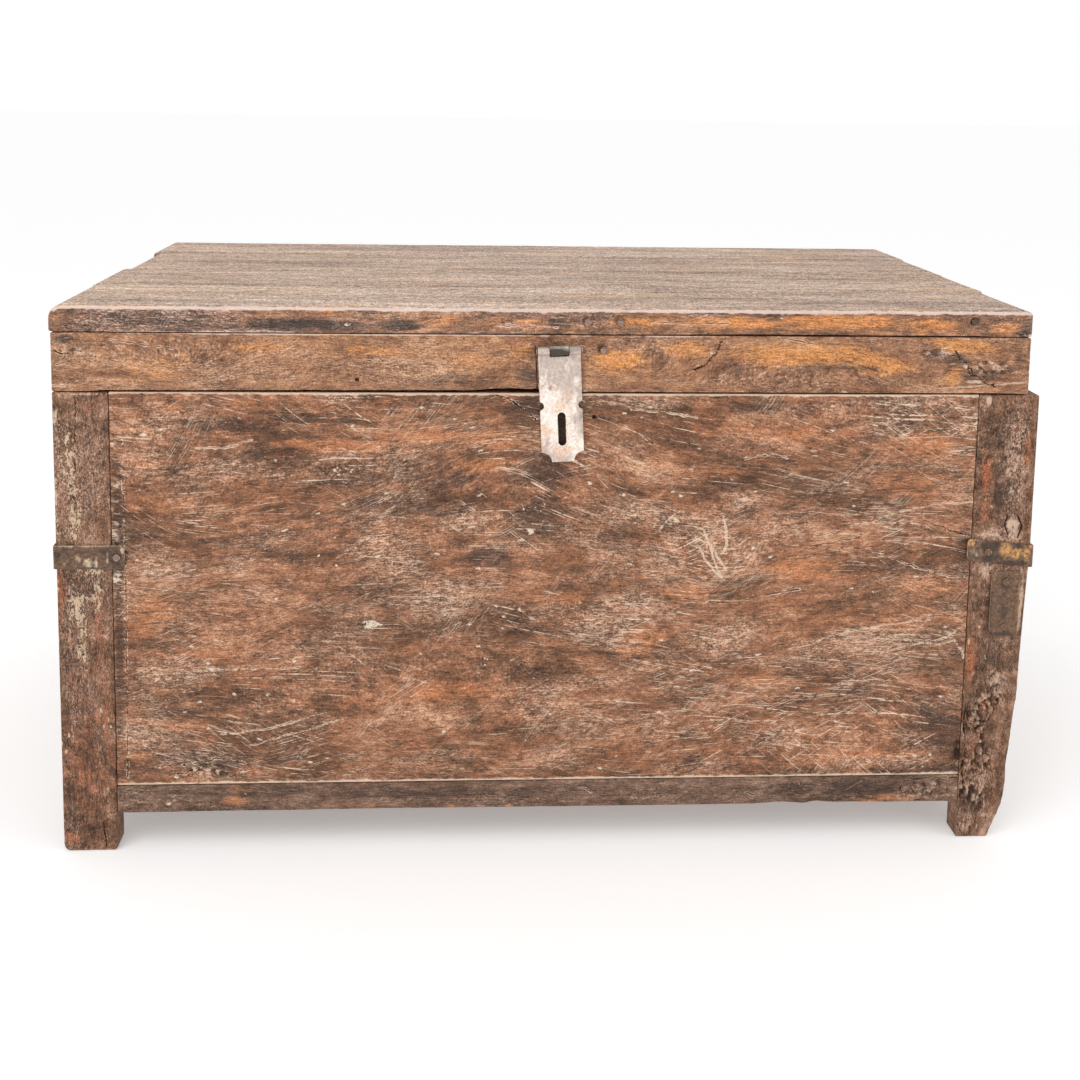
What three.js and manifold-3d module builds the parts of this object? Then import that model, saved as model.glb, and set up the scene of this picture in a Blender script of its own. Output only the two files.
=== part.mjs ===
import * as THREE from 'three';
import { mergeVertices } from 'three/addons/utils/BufferGeometryUtils.js';
import Module from 'manifold-3d';

// Storage chest of hand-sawn hardwood. Four corner posts end in feet and carry grooves for the
// panel, the boards and the rails. The floor lies on the rails, and a lid of four boards on a
// frame of aprons turns on two hinges at the back. An iron hasp hangs from the front apron.
// Millimetres. X runs to the right along the front, Y to the back, Z up.
// The origin is on the floor, under the middle of the chest.

const wasm = await Module();
wasm.setup();

// Overall sizes
const chestWidth = 970;
const chestDepth = 550;
const bodyHeight = 468;

// Clearances and edges
const fitGap = 0.3;
const runningGap = 0.1;
const cutOverrun = 2;
const arris = 1.5;

// Corner posts and their feet
const leftPostWidth = 53;
const rightPostWidth = 61;
const postThickness = 28;
const footHeight = 39;
const footRound = 7;
const wornFootTop = 42;
const wornFootCut = 15;
const wornEdgeTop = 215;
const wornEdgeDepth = 12;

// Walls
const wallRecess = 1.5;
const wallThickness = 22;
const tongueThickness = 8;
const tongueLength = 10;
const lowerBoardShare = 0.5;

// Bottom rails and floor
const railHeight = 28.5;
const railDepth = 44;
const tenonHeight = 18;
const floorThickness = 18;
const floorBoardCount = 5;

// Lid
const lidRightInset = 12;
const seatGap = 0.4;
const apronHeight = 57.6;
const apronThickness = 26;
const topThickness = 26.2;
const topBoardShares = [0.265, 0.235, 0.285, 0.215];
const leftOverhang = 3;
const rightOverhang = 11;
const endStagger = 12;
const leftSetbackShares = [0, 0.35, 1, 0.4];
const rightSetbackShares = [0.8, 0.5, 0.35, 0];
const battenWidth = 42;
const battenHeight = 34;
const battenX = 46;

// Nails
const nailShankRadius = 1.6;
const nailShankLength = 20;
const nailHeadRadius = 4;
const nailHeadHeight = 1.4;
const nailShoulderShare = 0.7;
const nailShoulderHeightShare = 0.8;
const nailSides = 10;
const sunkDepth = 1.8;
const nailPairSpan = 32;
const nailInBoardHeight = 13;
const nailInApronHeight = 43;
const sunkNailInset = 58;
const sunkNailHeight = 15.5;

// Corner straps and repair plate
const strapThickness = 2;
const strapHeight = 24;
const frontLegLength = 69;
const sideLegLength = 84;
const strapCornerRound = 5;
const leftStrapDrop = 163.5;
const rightStrapDrop = 165.5;
const rightStrapSlope = Math.tan(THREE.MathUtils.degToRad(5.7));
const strapNailInset = 8;
const rightStrapNailInset = 22;
const plateWidth = 30.5;
const plateHeight = 69;
const plateRound = 9;
const plateOuterInset = 9.5;
const plateTopGap = 4;
const plateNailInset = 11;

// Hasp
const haspX = 2;
const haspPinAboveSeam = 44;
const haspTilt = THREE.MathUtils.degToRad(3);
const haspWidth = 42;
const haspDrop = 111.5;
const haspThickness = 2;
const haspKnuckleRadius = 4.5;
const haspMiddleKnuckle = 18.4;
const haspWindowDrop = 6;
const haspPinRadius = 2;
const haspNotchDrop = 55;
const haspNotchRadius = 4;
const haspSlotTop = 62;
const haspSlotWidth = 7.5;
const haspSlotLength = 33;
const haspCornerRadius = 10;
const haspLeafWidth = 34;
const haspLeafDrop = 40;
const haspLeafThickness = 1.6;
const haspLeafGap = 0.4;
const haspLeafNailSpan = 18;
const haspLeafNailDrop = 27;
const flushHeadRadius = 3;
const flushHeadHeight = 1;

// Rear hinges
const hingeInset = 185;
const hingeLength = 66;
const hingeLeafHeight = 42;
const hingeLeafThickness = 2;
const hingeBarrelRadius = 5;
const hingePinRadius = 2.6;
const hingeMiddleShare = 0.36;
const pinHeadHeight = 1.2;
const pinHeadOver = 1;
const roundSides = 24;

// Colours
const woodFinish = { roughness: 0.75, metalness: 0 };
const ironFinish = { roughness: 0.55, metalness: 0.8 };
const panelBrown = { color: 0x78503c, ...woodFinish };
const postBrown = { color: 0x6a4a38, ...woodFinish };
const railBrown = { color: 0x645248, ...woodFinish };
const lidGrey = { color: 0x8a7460, ...woodFinish };
const apronBrown = { color: 0x8c5c3a, ...woodFinish };
const insideBrown = { color: 0x6e5644, ...woodFinish };
const strapIron = { color: 0x64553c, ...ironFinish };
const haspSteel = { color: 0xc8b8aa, ...ironFinish };
const hingeIron = { color: 0x4a423c, ...ironFinish };
const nailIron = { color: 0x4e3a30, ...ironFinish };

// Places worked out from the sizes
const left = -chestWidth / 2;
const right = chestWidth / 2;
const front = -chestDepth / 2;
const back = chestDepth / 2;
const leftPostInner = left + leftPostWidth;
const rightPostInner = right - rightPostWidth;
const frontPostBack = front + postThickness;
const rearPostFront = back - postThickness;
const railTop = footHeight + railHeight;
const wallBottom = railTop + fitGap;
const lidLeft = left;
const lidRight = right - lidRightInset;
const lidBottom = bodyHeight + seatGap;
const apronTop = lidBottom + apronHeight;
const topBottom = apronTop + fitGap;
const topTop = topBottom + topThickness;
const hingeAxisHeight = bodyHeight + seatGap / 2;
const leftStrapCentre = bodyHeight - leftStrapDrop;
const rightStrapCentre = bodyHeight - rightStrapDrop;
const tongueDepth = tongueLength + fitGap;
const grooveThickness = tongueThickness + 2 * fitGap;

const chest = new THREE.Group();
const pieces = new Map();

// Turns a closed three.js geometry into a solid that can be joined and cut.
function toSolid(geometry) {
  const bare = geometry.clone();
  bare.deleteAttribute('normal');
  bare.deleteAttribute('uv');
  const merged = mergeVertices(bare);
  const corners = merged.index.array;
  const kept = [];
  for (let i = 0; i < corners.length; i += 3) {
    const [a, b, c] = [corners[i], corners[i + 1], corners[i + 2]];
    if (a !== b && b !== c && c !== a) {
      kept.push(a, b, c);
    }
  }
  return new wasm.Manifold(new wasm.Mesh({
    numProp: 3,
    vertProperties: new Float32Array(merged.attributes.position.array),
    triVerts: new Uint32Array(kept),
  }));
}

function toGeometry(solid) {
  const mesh = solid.getMesh();
  const geometry = new THREE.BufferGeometry();
  geometry.setAttribute('position', new THREE.BufferAttribute(mesh.vertProperties, 3));
  geometry.setIndex(new THREE.BufferAttribute(mesh.triVerts, 1));
  geometry.computeVertexNormals();
  return geometry;
}

// Names a piece; a holder is a turned group that it hangs in.
function piece(name, solid, finish, holder = chest) {
  pieces.set(name, { solid, finish, holder });
}

function cutPiece(name, cutter) {
  const entry = pieces.get(name);
  entry.solid = entry.solid.subtract(cutter);
}

// A sharp block between two limits on each axis.
function block([x0, x1], [y0, y1], [z0, z1]) {
  const geometry = new THREE.BoxGeometry(x1 - x0, y1 - y0, z1 - z0);
  geometry.translate((x0 + x1) / 2, (y0 + y1) / 2, (z0 + z1) / 2);
  return toSolid(geometry);
}

// A board between two limits on each axis, with every arris eased.
function board([x0, x1], [y0, y1], [z0, z1]) {
  const outline = new THREE.Shape();
  outline.moveTo(x0 + arris, y0);
  outline.lineTo(x1 - arris, y0);
  outline.lineTo(x1, y0 + arris);
  outline.lineTo(x1, y1 - arris);
  outline.lineTo(x1 - arris, y1);
  outline.lineTo(x0 + arris, y1);
  outline.lineTo(x0, y1 - arris);
  outline.lineTo(x0, y0 + arris);
  outline.closePath();
  return toSolid(easedSlab(outline, z1 - z0).translate(0, 0, z0));
}

// An outline in XY made a slab that is eased at both faces and stands on z = 0.
function easedSlab(outline, thickness) {
  const geometry = new THREE.ExtrudeGeometry(outline, {
    depth: thickness - 2 * arris,
    bevelEnabled: true,
    bevelSegments: 1,
    bevelSize: arris,
    bevelOffset: -arris,
    bevelThickness: arris,
    curveSegments: 4,
  });
  return geometry.translate(0, 0, arris);
}

// An outline in XY made a sharp slab on z = 0, for sheet metal.
function sheet(outline, thickness) {
  return new THREE.ExtrudeGeometry(outline, {
    depth: thickness,
    bevelEnabled: false,
    curveSegments: 6,
  });
}

// Stands a slab up, so that its outline lies in XZ and it reaches from one y to a larger one.
function standFacingFront(geometry, yBack) {
  return geometry.rotateX(Math.PI / 2).translate(0, yBack, 0);
}

// Stands a slab up, so that its outline lies in YZ and it reaches from one x to a larger one.
function standFacingSide(geometry, xLow) {
  return geometry.rotateX(Math.PI / 2).rotateZ(Math.PI / 2).translate(xLow, 0, 0);
}

// A rod along X between two limits.
function rodAlongX(radius, [x0, x1], y, z, sides = roundSides) {
  const geometry = new THREE.CylinderGeometry(radius, radius, x1 - x0, sides);
  return toSolid(geometry.rotateZ(Math.PI / 2).translate((x0 + x1) / 2, y, z));
}

// A square-shouldered board between the posts, with a tongue at each end that enters a groove.
function tonguedBoard(lengthAxis, along, across, height) {
  const middle = (across[0] + across[1]) / 2;
  const tongueAcross = [middle - tongueThickness / 2, middle + tongueThickness / 2];
  const tongueAlong = [along[0] - tongueLength, along[1] + tongueLength];
  const tongueUp = [height[0] + arris, height[1] - arris];
  const lies = lengthAxis === 'x';
  const body = lies ? board(along, across, height) : board(across, along, height);
  const tongue = lies
    ? block(tongueAlong, tongueAcross, tongueUp)
    : block(tongueAcross, tongueAlong, tongueUp);
  return body.add(tongue);
}

// The groove that such a tongue needs in the post at one end.
function groove(lengthAxis, along, across, height) {
  const middle = (across[0] + across[1]) / 2;
  const grooveAcross = [middle - grooveThickness / 2, middle + grooveThickness / 2];
  return lengthAxis === 'x'
    ? block(along, grooveAcross, height)
    : block(grooveAcross, along, height);
}

// Corner posts
// The outline of a post, from the inner edge to the outer one, with a rounded or worn foot.
function postOutline(inner, outer, worn) {
  const outward = Math.sign(outer - inner);
  const outline = new THREE.Shape();
  outline.moveTo(inner, 0);
  outline.lineTo(inner, bodyHeight);
  outline.lineTo(outer, bodyHeight);
  if (worn) {
    const wornEdge = outer - outward * wornEdgeDepth;
    outline.lineTo(outer, wornEdgeTop);
    outline.lineTo(wornEdge, wornFootTop);
    outline.lineTo(wornEdge - outward * wornFootCut, 0);
  } else {
    outline.lineTo(outer, footRound);
    outline.quadraticCurveTo(outer, 0, outer - outward * footRound, 0);
  }
  outline.closePath();
  return outline;
}

function cornerPost(name, inner, outer, yBack, worn) {
  const slab = easedSlab(postOutline(inner, outer, worn), postThickness);
  piece(name, toSolid(standFacingFront(slab, yBack)), postBrown);
}

cornerPost('front_left_post', leftPostInner, left, frontPostBack, false);
cornerPost('front_right_post', rightPostInner, right, frontPostBack, true);
cornerPost('rear_left_post', leftPostInner, left, back, false);
cornerPost('rear_right_post', rightPostInner, right, back, false);

// Walls: a tongued board between two posts, and the grooves in them
const alongFront = [leftPostInner + fitGap, rightPostInner - fitGap];
const alongSide = [frontPostBack + fitGap, rearPostFront - fitGap];
const frontWall = [front + wallRecess, front + wallRecess + wallThickness];
const rearWall = [back - wallRecess - wallThickness, back - wallRecess];
const leftWall = [left + wallRecess, left + wallRecess + wallThickness];
const rightWall = [right - wallRecess - wallThickness, right - wallRecess];
const boardSplit = wallBottom + (bodyHeight - wallBottom) * lowerBoardShare;
const lowerBoard = [wallBottom, boardSplit];
const upperBoard = [boardSplit + fitGap, bodyHeight];

piece('front_panel', tonguedBoard('x', alongFront, frontWall, [wallBottom, bodyHeight]), panelBrown);
for (const [place, height] of [['lower', lowerBoard], ['upper', upperBoard]]) {
  piece(`rear_${place}_board`, tonguedBoard('x', alongFront, rearWall, height), panelBrown);
  piece(`left_${place}_board`, tonguedBoard('y', alongSide, leftWall, height), panelBrown);
  piece(`right_${place}_board`, tonguedBoard('y', alongSide, rightWall, height), panelBrown);
}

const grooveUp = [wallBottom - fitGap, bodyHeight + cutOverrun];
for (const [place, wall] of [['front', frontWall], ['rear', rearWall]]) {
  cutPiece(`${place}_left_post`,
    groove('x', [leftPostInner - tongueDepth, leftPostInner + cutOverrun], wall, grooveUp));
  cutPiece(`${place}_right_post`,
    groove('x', [rightPostInner - cutOverrun, rightPostInner + tongueDepth], wall, grooveUp));
}
for (const [side, wall] of [['left', leftWall], ['right', rightWall]]) {
  cutPiece(`front_${side}_post`,
    groove('y', [frontPostBack - tongueDepth, frontPostBack + cutOverrun], wall, grooveUp));
  cutPiece(`rear_${side}_post`,
    groove('y', [rearPostFront - cutOverrun, rearPostFront + tongueDepth], wall, grooveUp));
}

// Bottom rails, with stub tenons in the posts
const railUp = [footHeight, railTop];
const railMiddle = (footHeight + railTop) / 2;
const tenonUp = [railMiddle - tenonHeight / 2, railMiddle + tenonHeight / 2];
const mortiseUp = [tenonUp[0] - fitGap, tenonUp[1] + fitGap];
const tenonHalf = tongueThickness / 2;
const mortiseHalf = grooveThickness / 2;

function rail(name, lengthAxis, along, across, tenonCentre) {
  const tenonAcross = [tenonCentre - tenonHalf, tenonCentre + tenonHalf];
  const tenonAlong = [along[0] - tongueLength, along[1] + tongueLength];
  const lies = lengthAxis === 'x';
  const body = lies ? board(along, across, railUp) : board(across, along, railUp);
  const tenon = lies
    ? block(tenonAlong, tenonAcross, tenonUp)
    : block(tenonAcross, tenonAlong, tenonUp);
  piece(name, body.add(tenon), railBrown);
}

function mortise(name, lengthAxis, along, tenonCentre) {
  const across = [tenonCentre - mortiseHalf, tenonCentre + mortiseHalf];
  cutPiece(name, lengthAxis === 'x' ? block(along, across, mortiseUp) : block(across, along, mortiseUp));
}

const frontTenon = (front + frontPostBack) / 2;
const rearTenon = (rearPostFront + back) / 2;
const leftTenon = left + railDepth / 2;
const rightTenon = right - wornEdgeDepth - (railDepth - wornEdgeDepth) / 2;
rail('front_rail', 'x', alongFront, [front, front + railDepth], frontTenon);
rail('rear_rail', 'x', alongFront, [back - railDepth, back], rearTenon);
rail('left_rail', 'y', alongSide, [left, left + railDepth], leftTenon);
rail('right_rail', 'y', alongSide, [right - railDepth, right], rightTenon);
for (const [place, centre] of [['front', frontTenon], ['rear', rearTenon]]) {
  mortise(`${place}_left_post`, 'x', [leftPostInner - tongueDepth, leftPostInner + cutOverrun], centre);
  mortise(`${place}_right_post`, 'x', [rightPostInner - cutOverrun, rightPostInner + tongueDepth], centre);
}
for (const [side, centre] of [['left', leftTenon], ['right', rightTenon]]) {
  mortise(`front_${side}_post`, 'y', [frontPostBack - tongueDepth, frontPostBack + cutOverrun], centre);
  mortise(`rear_${side}_post`, 'y', [rearPostFront - cutOverrun, rearPostFront + tongueDepth], centre);
}

// Floor boards, from front to back on the rails' ledges
const floorLeft = leftWall[1] + fitGap;
const floorRight = rightWall[0] - fitGap;
const floorBoardWidth = (floorRight - floorLeft - (floorBoardCount - 1) * fitGap) / floorBoardCount;
const floorTop = wallBottom + floorThickness;
for (let i = 0; i < floorBoardCount; i += 1) {
  const start = floorLeft + i * (floorBoardWidth + fitGap);
  piece(`floor_board_${i + 1}`,
    board([start, start + floorBoardWidth], alongSide, [wallBottom, floorTop]), insideBrown);
}

// Lid frame
const sideApronAlong = [front + apronThickness + fitGap, back - apronThickness - fitGap];
const apronUp = [lidBottom, apronTop];
piece('lid_front_apron', board([lidLeft, lidRight], [front, front + apronThickness], apronUp), apronBrown);
piece('lid_rear_apron', board([lidLeft, lidRight], [back - apronThickness, back], apronUp), apronBrown);
const lidSides = {
  left: [lidLeft, lidLeft + apronThickness],
  right: [lidRight - apronThickness, lidRight],
};
for (const [side, across] of Object.entries(lidSides)) {
  piece(`lid_${side}_apron`, tonguedBoard('y', sideApronAlong, across, apronUp), apronBrown);
}
const battenUp = [apronTop - battenHeight, apronTop];
const battenAcross = [battenX - battenWidth / 2, battenX + battenWidth / 2];
piece('lid_batten', tonguedBoard('y', sideApronAlong, battenAcross, battenUp), insideBrown);
for (const across of [lidSides.left, lidSides.right, battenAcross]) {
  const low = across === battenAcross ? battenUp[0] : lidBottom - cutOverrun;
  const housing = [low, apronTop - arris + fitGap];
  const frontHousing = [sideApronAlong[0] - fitGap - tongueDepth, sideApronAlong[0] + cutOverrun];
  const rearHousing = [sideApronAlong[1] - cutOverrun, sideApronAlong[1] + fitGap + tongueDepth];
  cutPiece('lid_front_apron', groove('y', frontHousing, across, housing));
  cutPiece('lid_rear_apron', groove('y', rearHousing, across, housing));
}

// Top boards, each with its own ends
let boardFront = front;
topBoardShares.forEach((share, i) => {
  const boardBack = boardFront + share * chestDepth;
  const start = lidLeft - leftOverhang + endStagger * leftSetbackShares[i];
  const end = lidRight + rightOverhang - endStagger * rightSetbackShares[i];
  const across = [boardFront, i === topBoardShares.length - 1 ? back : boardBack - fitGap];
  piece(`lid_top_board_${i + 1}`, board([start, end], across, [topBottom, topTop]), lidGrey);
  boardFront = boardBack;
});

// A nail's axis points out of the wood, and its head rests on y = 0 before it is turned.
function nailGeometry(headRadius, headHeight) {
  const profile = [
    new THREE.Vector2(0, -nailShankLength),
    new THREE.Vector2(nailShankRadius, -nailShankLength),
    new THREE.Vector2(nailShankRadius, 0),
    new THREE.Vector2(headRadius, 0),
    new THREE.Vector2(headRadius * nailShoulderShare, headHeight * nailShoulderHeightShare),
    new THREE.Vector2(0, headHeight),
  ];
  return new THREE.LatheGeometry(profile, nailSides);
}

const upward = new THREE.Vector3(0, 1, 0);

function turnTo(geometry, outward, place) {
  const turn = new THREE.Quaternion().setFromUnitVectors(upward, outward);
  return geometry.applyQuaternion(turn).translate(place.x, place.y, place.z);
}

// Drives a nail and drills what it passes through.
function nail(name, place, outward, through, sunk = 0) {
  const seat = place.clone().addScaledVector(outward, fitGap - sunk);
  piece(name, toSolid(turnTo(nailGeometry(nailHeadRadius, nailHeadHeight), outward, seat)), nailIron);
  const reach = nailShankLength + cutOverrun + sunk;
  const shankHole = new THREE.CylinderGeometry(
    nailShankRadius + fitGap, nailShankRadius + fitGap, reach + cutOverrun, nailSides);
  shankHole.translate(0, cutOverrun - (reach + cutOverrun) / 2, 0);
  let hole = toSolid(turnTo(shankHole, outward, place));
  if (sunk > 0) {
    const pocket = new THREE.CylinderGeometry(
      nailHeadRadius + fitGap, nailHeadRadius + fitGap, sunk + cutOverrun, nailSides);
    pocket.translate(0, (cutOverrun - sunk) / 2, 0);
    hole = hole.add(toSolid(turnTo(pocket, outward, place)));
  }
  through.forEach((target) => cutPiece(target, hole));
}

const outOfFront = new THREE.Vector3(0, -1, 0);
const outOfBack = new THREE.Vector3(0, 1, 0);
const outOfSide = { left: new THREE.Vector3(-1, 0, 0), right: new THREE.Vector3(1, 0, 0) };

const battenNails = [battenX - nailPairSpan / 2, battenX + nailPairSpan / 2];
battenNails.forEach((x, i) => {
  const place = new THREE.Vector3(x, front, topBottom + nailInBoardHeight);
  nail(`lid_board_nail_${i + 1}`, place, outOfFront, ['lid_top_board_1']);
});
nail('lid_apron_nail', new THREE.Vector3(battenX, front, lidBottom + nailInApronHeight),
  outOfFront, ['lid_front_apron', 'lid_batten']);
nail('lid_sunk_nail', new THREE.Vector3(lidRight - sunkNailInset, front, topBottom + sunkNailHeight),
  outOfFront, ['lid_top_board_1'], sunkDepth);

// Corner straps
// One leg of a strap: straight at the corner, rounded at its free end.
function legOutline(length, free) {
  const half = strapHeight / 2;
  const r = strapCornerRound;
  const outline = new THREE.Shape();
  outline.moveTo(0, -half);
  outline.lineTo(free * (length - r), -half);
  outline.quadraticCurveTo(free * length, -half, free * length, -half + r);
  outline.lineTo(free * length, half - r);
  outline.quadraticCurveTo(free * length, half, free * (length - r), half);
  outline.lineTo(0, half);
  outline.closePath();
  return outline;
}

// The strap stands clear of the wood by the gap, and slopes along its front leg.
function cornerStrap(place, side, centreHeight, slope) {
  const inward = side === 'left' ? 1 : -1;
  const outerX = (side === 'left' ? left : right) - inward * (fitGap + strapThickness);
  const outerY = place === 'front' ? front - fitGap - strapThickness : back + fitGap + strapThickness;
  const faceBack = place === 'front' ? outerY + strapThickness : outerY;
  const faceLeg = standFacingFront(sheet(legOutline(frontLegLength, inward), strapThickness), faceBack);
  faceLeg.translate(outerX, 0, 0);
  const intoDepth = place === 'front' ? 1 : -1;
  const sideLow = side === 'left' ? outerX : outerX - strapThickness;
  const sideLeg = standFacingSide(sheet(legOutline(sideLegLength, intoDepth), strapThickness), sideLow);
  sideLeg.translate(0, outerY, 0);
  const shear = new THREE.Matrix4().makeShear(0, slope, 0, 0, 0, 0);
  const bent = toSolid(faceLeg.translate(-outerX, 0, 0).applyMatrix4(shear).translate(outerX, 0, 0));
  const raise = [0, 0, centreHeight];
  piece(`${place}_${side}_strap`, bent.add(toSolid(sideLeg)).translate(raise), strapIron);

  const out = place === 'front' ? outOfFront : outOfBack;
  const nailInset = side === 'left' ? strapNailInset : rightStrapNailInset;
  const faceNailX = outerX + inward * (frontLegLength - nailInset);
  const faceNailZ = centreHeight + slope * (faceNailX - outerX);
  const wallNames = place === 'front' ? ['front_panel'] : ['rear_lower_board', 'rear_upper_board'];
  const crossed = [`${place}_${side}_strap`, `${place}_${side}_post`, ...wallNames];
  nail(`${place}_${side}_strap_face_nail`, new THREE.Vector3(faceNailX, outerY, faceNailZ), out, crossed);
  const sideNailY = outerY + intoDepth * (sideLegLength - strapNailInset);
  nail(`${place}_${side}_strap_side_nail`, new THREE.Vector3(outerX, sideNailY, centreHeight),
    outOfSide[side], [`${place}_${side}_strap`, `${side}_lower_board`, `${side}_upper_board`]);
}

cornerStrap('front', 'left', leftStrapCentre, 0);
cornerStrap('front', 'right', rightStrapCentre, -rightStrapSlope);
cornerStrap('rear', 'left', leftStrapCentre, 0);
cornerStrap('rear', 'right', rightStrapCentre, 0);

// Repair plate on the right post, under the strap
const plateRight = right - plateOuterInset;
const plateLeft = plateRight - plateWidth;
const plateTop = rightStrapCentre - strapHeight / 2 - plateTopGap;
const plateBottom = plateTop - plateHeight;
const plateOutline = new THREE.Shape();
plateOutline.moveTo(plateLeft, plateTop);
plateOutline.lineTo(plateLeft, plateBottom + plateRound);
plateOutline.quadraticCurveTo(plateLeft, plateBottom, plateLeft + plateRound, plateBottom);
plateOutline.lineTo(plateRight - plateRound, plateBottom);
plateOutline.quadraticCurveTo(plateRight, plateBottom, plateRight, plateBottom + plateRound);
plateOutline.lineTo(plateRight, plateTop);
plateOutline.closePath();
piece('repair_plate',
  toSolid(standFacingFront(sheet(plateOutline, strapThickness), front - fitGap)), strapIron);
const plateNailHeights = { upper: plateTop - plateNailInset, lower: plateBottom + plateNailInset };
for (const [place, z] of Object.entries(plateNailHeights)) {
  const at = new THREE.Vector3((plateLeft + plateRight) / 2, front - fitGap - strapThickness, z);
  nail(`plate_${place}_nail`, at, outOfFront, ['repair_plate', 'front_right_post']);
}

// Rear hinges
// Knuckles are given as ranges along the pin; a leaf keeps its own and clears the other leaf's.
function knuckleRanges(x, length, middle) {
  const half = length / 2;
  const inner = middle / 2;
  return {
    middle: [[x - inner, x + inner]],
    outer: [[x - half, x - inner - fitGap], [x + inner + fitGap, x + half]],
  };
}

function joinRods(solid, ranges, radius, y, z) {
  return ranges.reduce((made, range) => made.add(rodAlongX(radius, range, y, z)), solid);
}

// Cuts a leaf clear of the other leaf's knuckles, up to its own.
function clearRods(solid, ranges, radius, y, z) {
  return ranges.reduce((made, [x0, x1]) => (
    made.subtract(rodAlongX(radius + 2 * fitGap, [x0 - fitGap, x1 + fitGap], y, z))), solid);
}

function boreRod(solid, x, length, radius, y, z) {
  const half = length / 2 + cutOverrun;
  return solid.subtract(rodAlongX(radius + runningGap, [x - half, x + half], y, z));
}

// A pin along X, riveted over at both ends.
function rivetedPin(x, length, radius, y, z) {
  const half = length / 2 + fitGap;
  const end = half + pinHeadHeight;
  const headRadius = radius + pinHeadOver;
  const profile = [
    new THREE.Vector2(0, -end),
    new THREE.Vector2(headRadius, -half - pinHeadHeight / 2),
    new THREE.Vector2(headRadius, -half),
    new THREE.Vector2(radius, -half),
    new THREE.Vector2(radius, half),
    new THREE.Vector2(headRadius, half),
    new THREE.Vector2(headRadius, half + pinHeadHeight / 2),
    new THREE.Vector2(0, end),
  ];
  return toSolid(new THREE.LatheGeometry(profile, roundSides).rotateZ(Math.PI / 2).translate(x, y, z));
}

const hingeAxisY = back + fitGap + hingeBarrelRadius;

function rearHinge(side, x) {
  const knuckles = knuckleRanges(x, hingeLength, hingeLength * hingeMiddleShare);
  const leafAlong = [x - hingeLength / 2, x + hingeLength / 2];
  const leafAcross = [back + fitGap, back + fitGap + hingeLeafThickness];
  const leaves = {
    lid: { up: [hingeAxisHeight, hingeAxisHeight + hingeLeafHeight], own: 'middle', other: 'outer' },
    chest: { up: [hingeAxisHeight - hingeLeafHeight, hingeAxisHeight], own: 'outer', other: 'middle' },
  };
  for (const [place, { up, own, other }] of Object.entries(leaves)) {
    let leaf = block(leafAlong, leafAcross, up);
    leaf = clearRods(leaf, knuckles[other], hingeBarrelRadius, hingeAxisY, hingeAxisHeight);
    leaf = joinRods(leaf, knuckles[own], hingeBarrelRadius, hingeAxisY, hingeAxisHeight);
    leaf = boreRod(leaf, x, hingeLength, hingePinRadius, hingeAxisY, hingeAxisHeight);
    piece(`${side}_hinge_${place}_leaf`, leaf, hingeIron);
  }
  piece(`${side}_hinge_pin`,
    rivetedPin(x, hingeLength, hingePinRadius, hingeAxisY, hingeAxisHeight), hingeIron);
}

rearHinge('left', left + hingeInset);
rearHinge('right', right - hingeInset);

// Hasp, in a group that hangs a little out of true; its origin is the middle of the pin
const haspHolder = new THREE.Group();
haspHolder.position.set(haspX, front - fitGap - haspKnuckleRadius, bodyHeight + haspPinAboveSeam);
haspHolder.rotation.y = -haspTilt;
haspHolder.updateMatrix();

const haspKnuckles = knuckleRanges(0, haspWidth, haspMiddleKnuckle);
const leafFront = haspKnuckleRadius - haspLeafThickness;
const leafHalf = haspLeafWidth / 2;
let haspLeaf = block([-leafHalf, leafHalf], [leafFront, haspKnuckleRadius], [-haspLeafDrop, 0]);
haspLeaf = clearRods(haspLeaf, haspKnuckles.outer, haspKnuckleRadius, 0, 0);
haspLeaf = joinRods(haspLeaf, haspKnuckles.middle, haspKnuckleRadius, 0, 0);
haspLeaf = boreRod(haspLeaf, 0, haspWidth, haspPinRadius, 0, 0);
piece('hasp_leaf', haspLeaf, haspSteel, haspHolder);
piece('hasp_pin', rivetedPin(0, haspWidth, haspPinRadius, 0, 0), haspSteel, haspHolder);

function haspOutline() {
  const half = haspWidth / 2;
  const quarter = Math.PI / 2;
  const outline = new THREE.Shape();
  outline.moveTo(-half, 0);
  outline.lineTo(-half, -haspNotchDrop + haspNotchRadius);
  outline.absarc(-half, -haspNotchDrop, haspNotchRadius, quarter, -quarter, true);
  outline.lineTo(-half, -haspDrop + haspCornerRadius);
  outline.absarc(-half, -haspDrop, haspCornerRadius, quarter, 0, true);
  outline.lineTo(half - haspCornerRadius, -haspDrop);
  outline.absarc(half, -haspDrop, haspCornerRadius, Math.PI, quarter, true);
  outline.lineTo(half, -haspNotchDrop - haspNotchRadius);
  outline.absarc(half, -haspNotchDrop, haspNotchRadius, -quarter, quarter, true);
  outline.lineTo(half, 0);
  outline.closePath();
  const slotRadius = haspSlotWidth / 2;
  const slot = new THREE.Path();
  slot.absarc(0, -haspSlotTop - slotRadius, slotRadius, 0, Math.PI, false);
  slot.absarc(0, -haspSlotTop - haspSlotLength + slotRadius, slotRadius, Math.PI, 2 * Math.PI, false);
  slot.closePath();
  outline.holes.push(slot);
  return outline;
}

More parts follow.
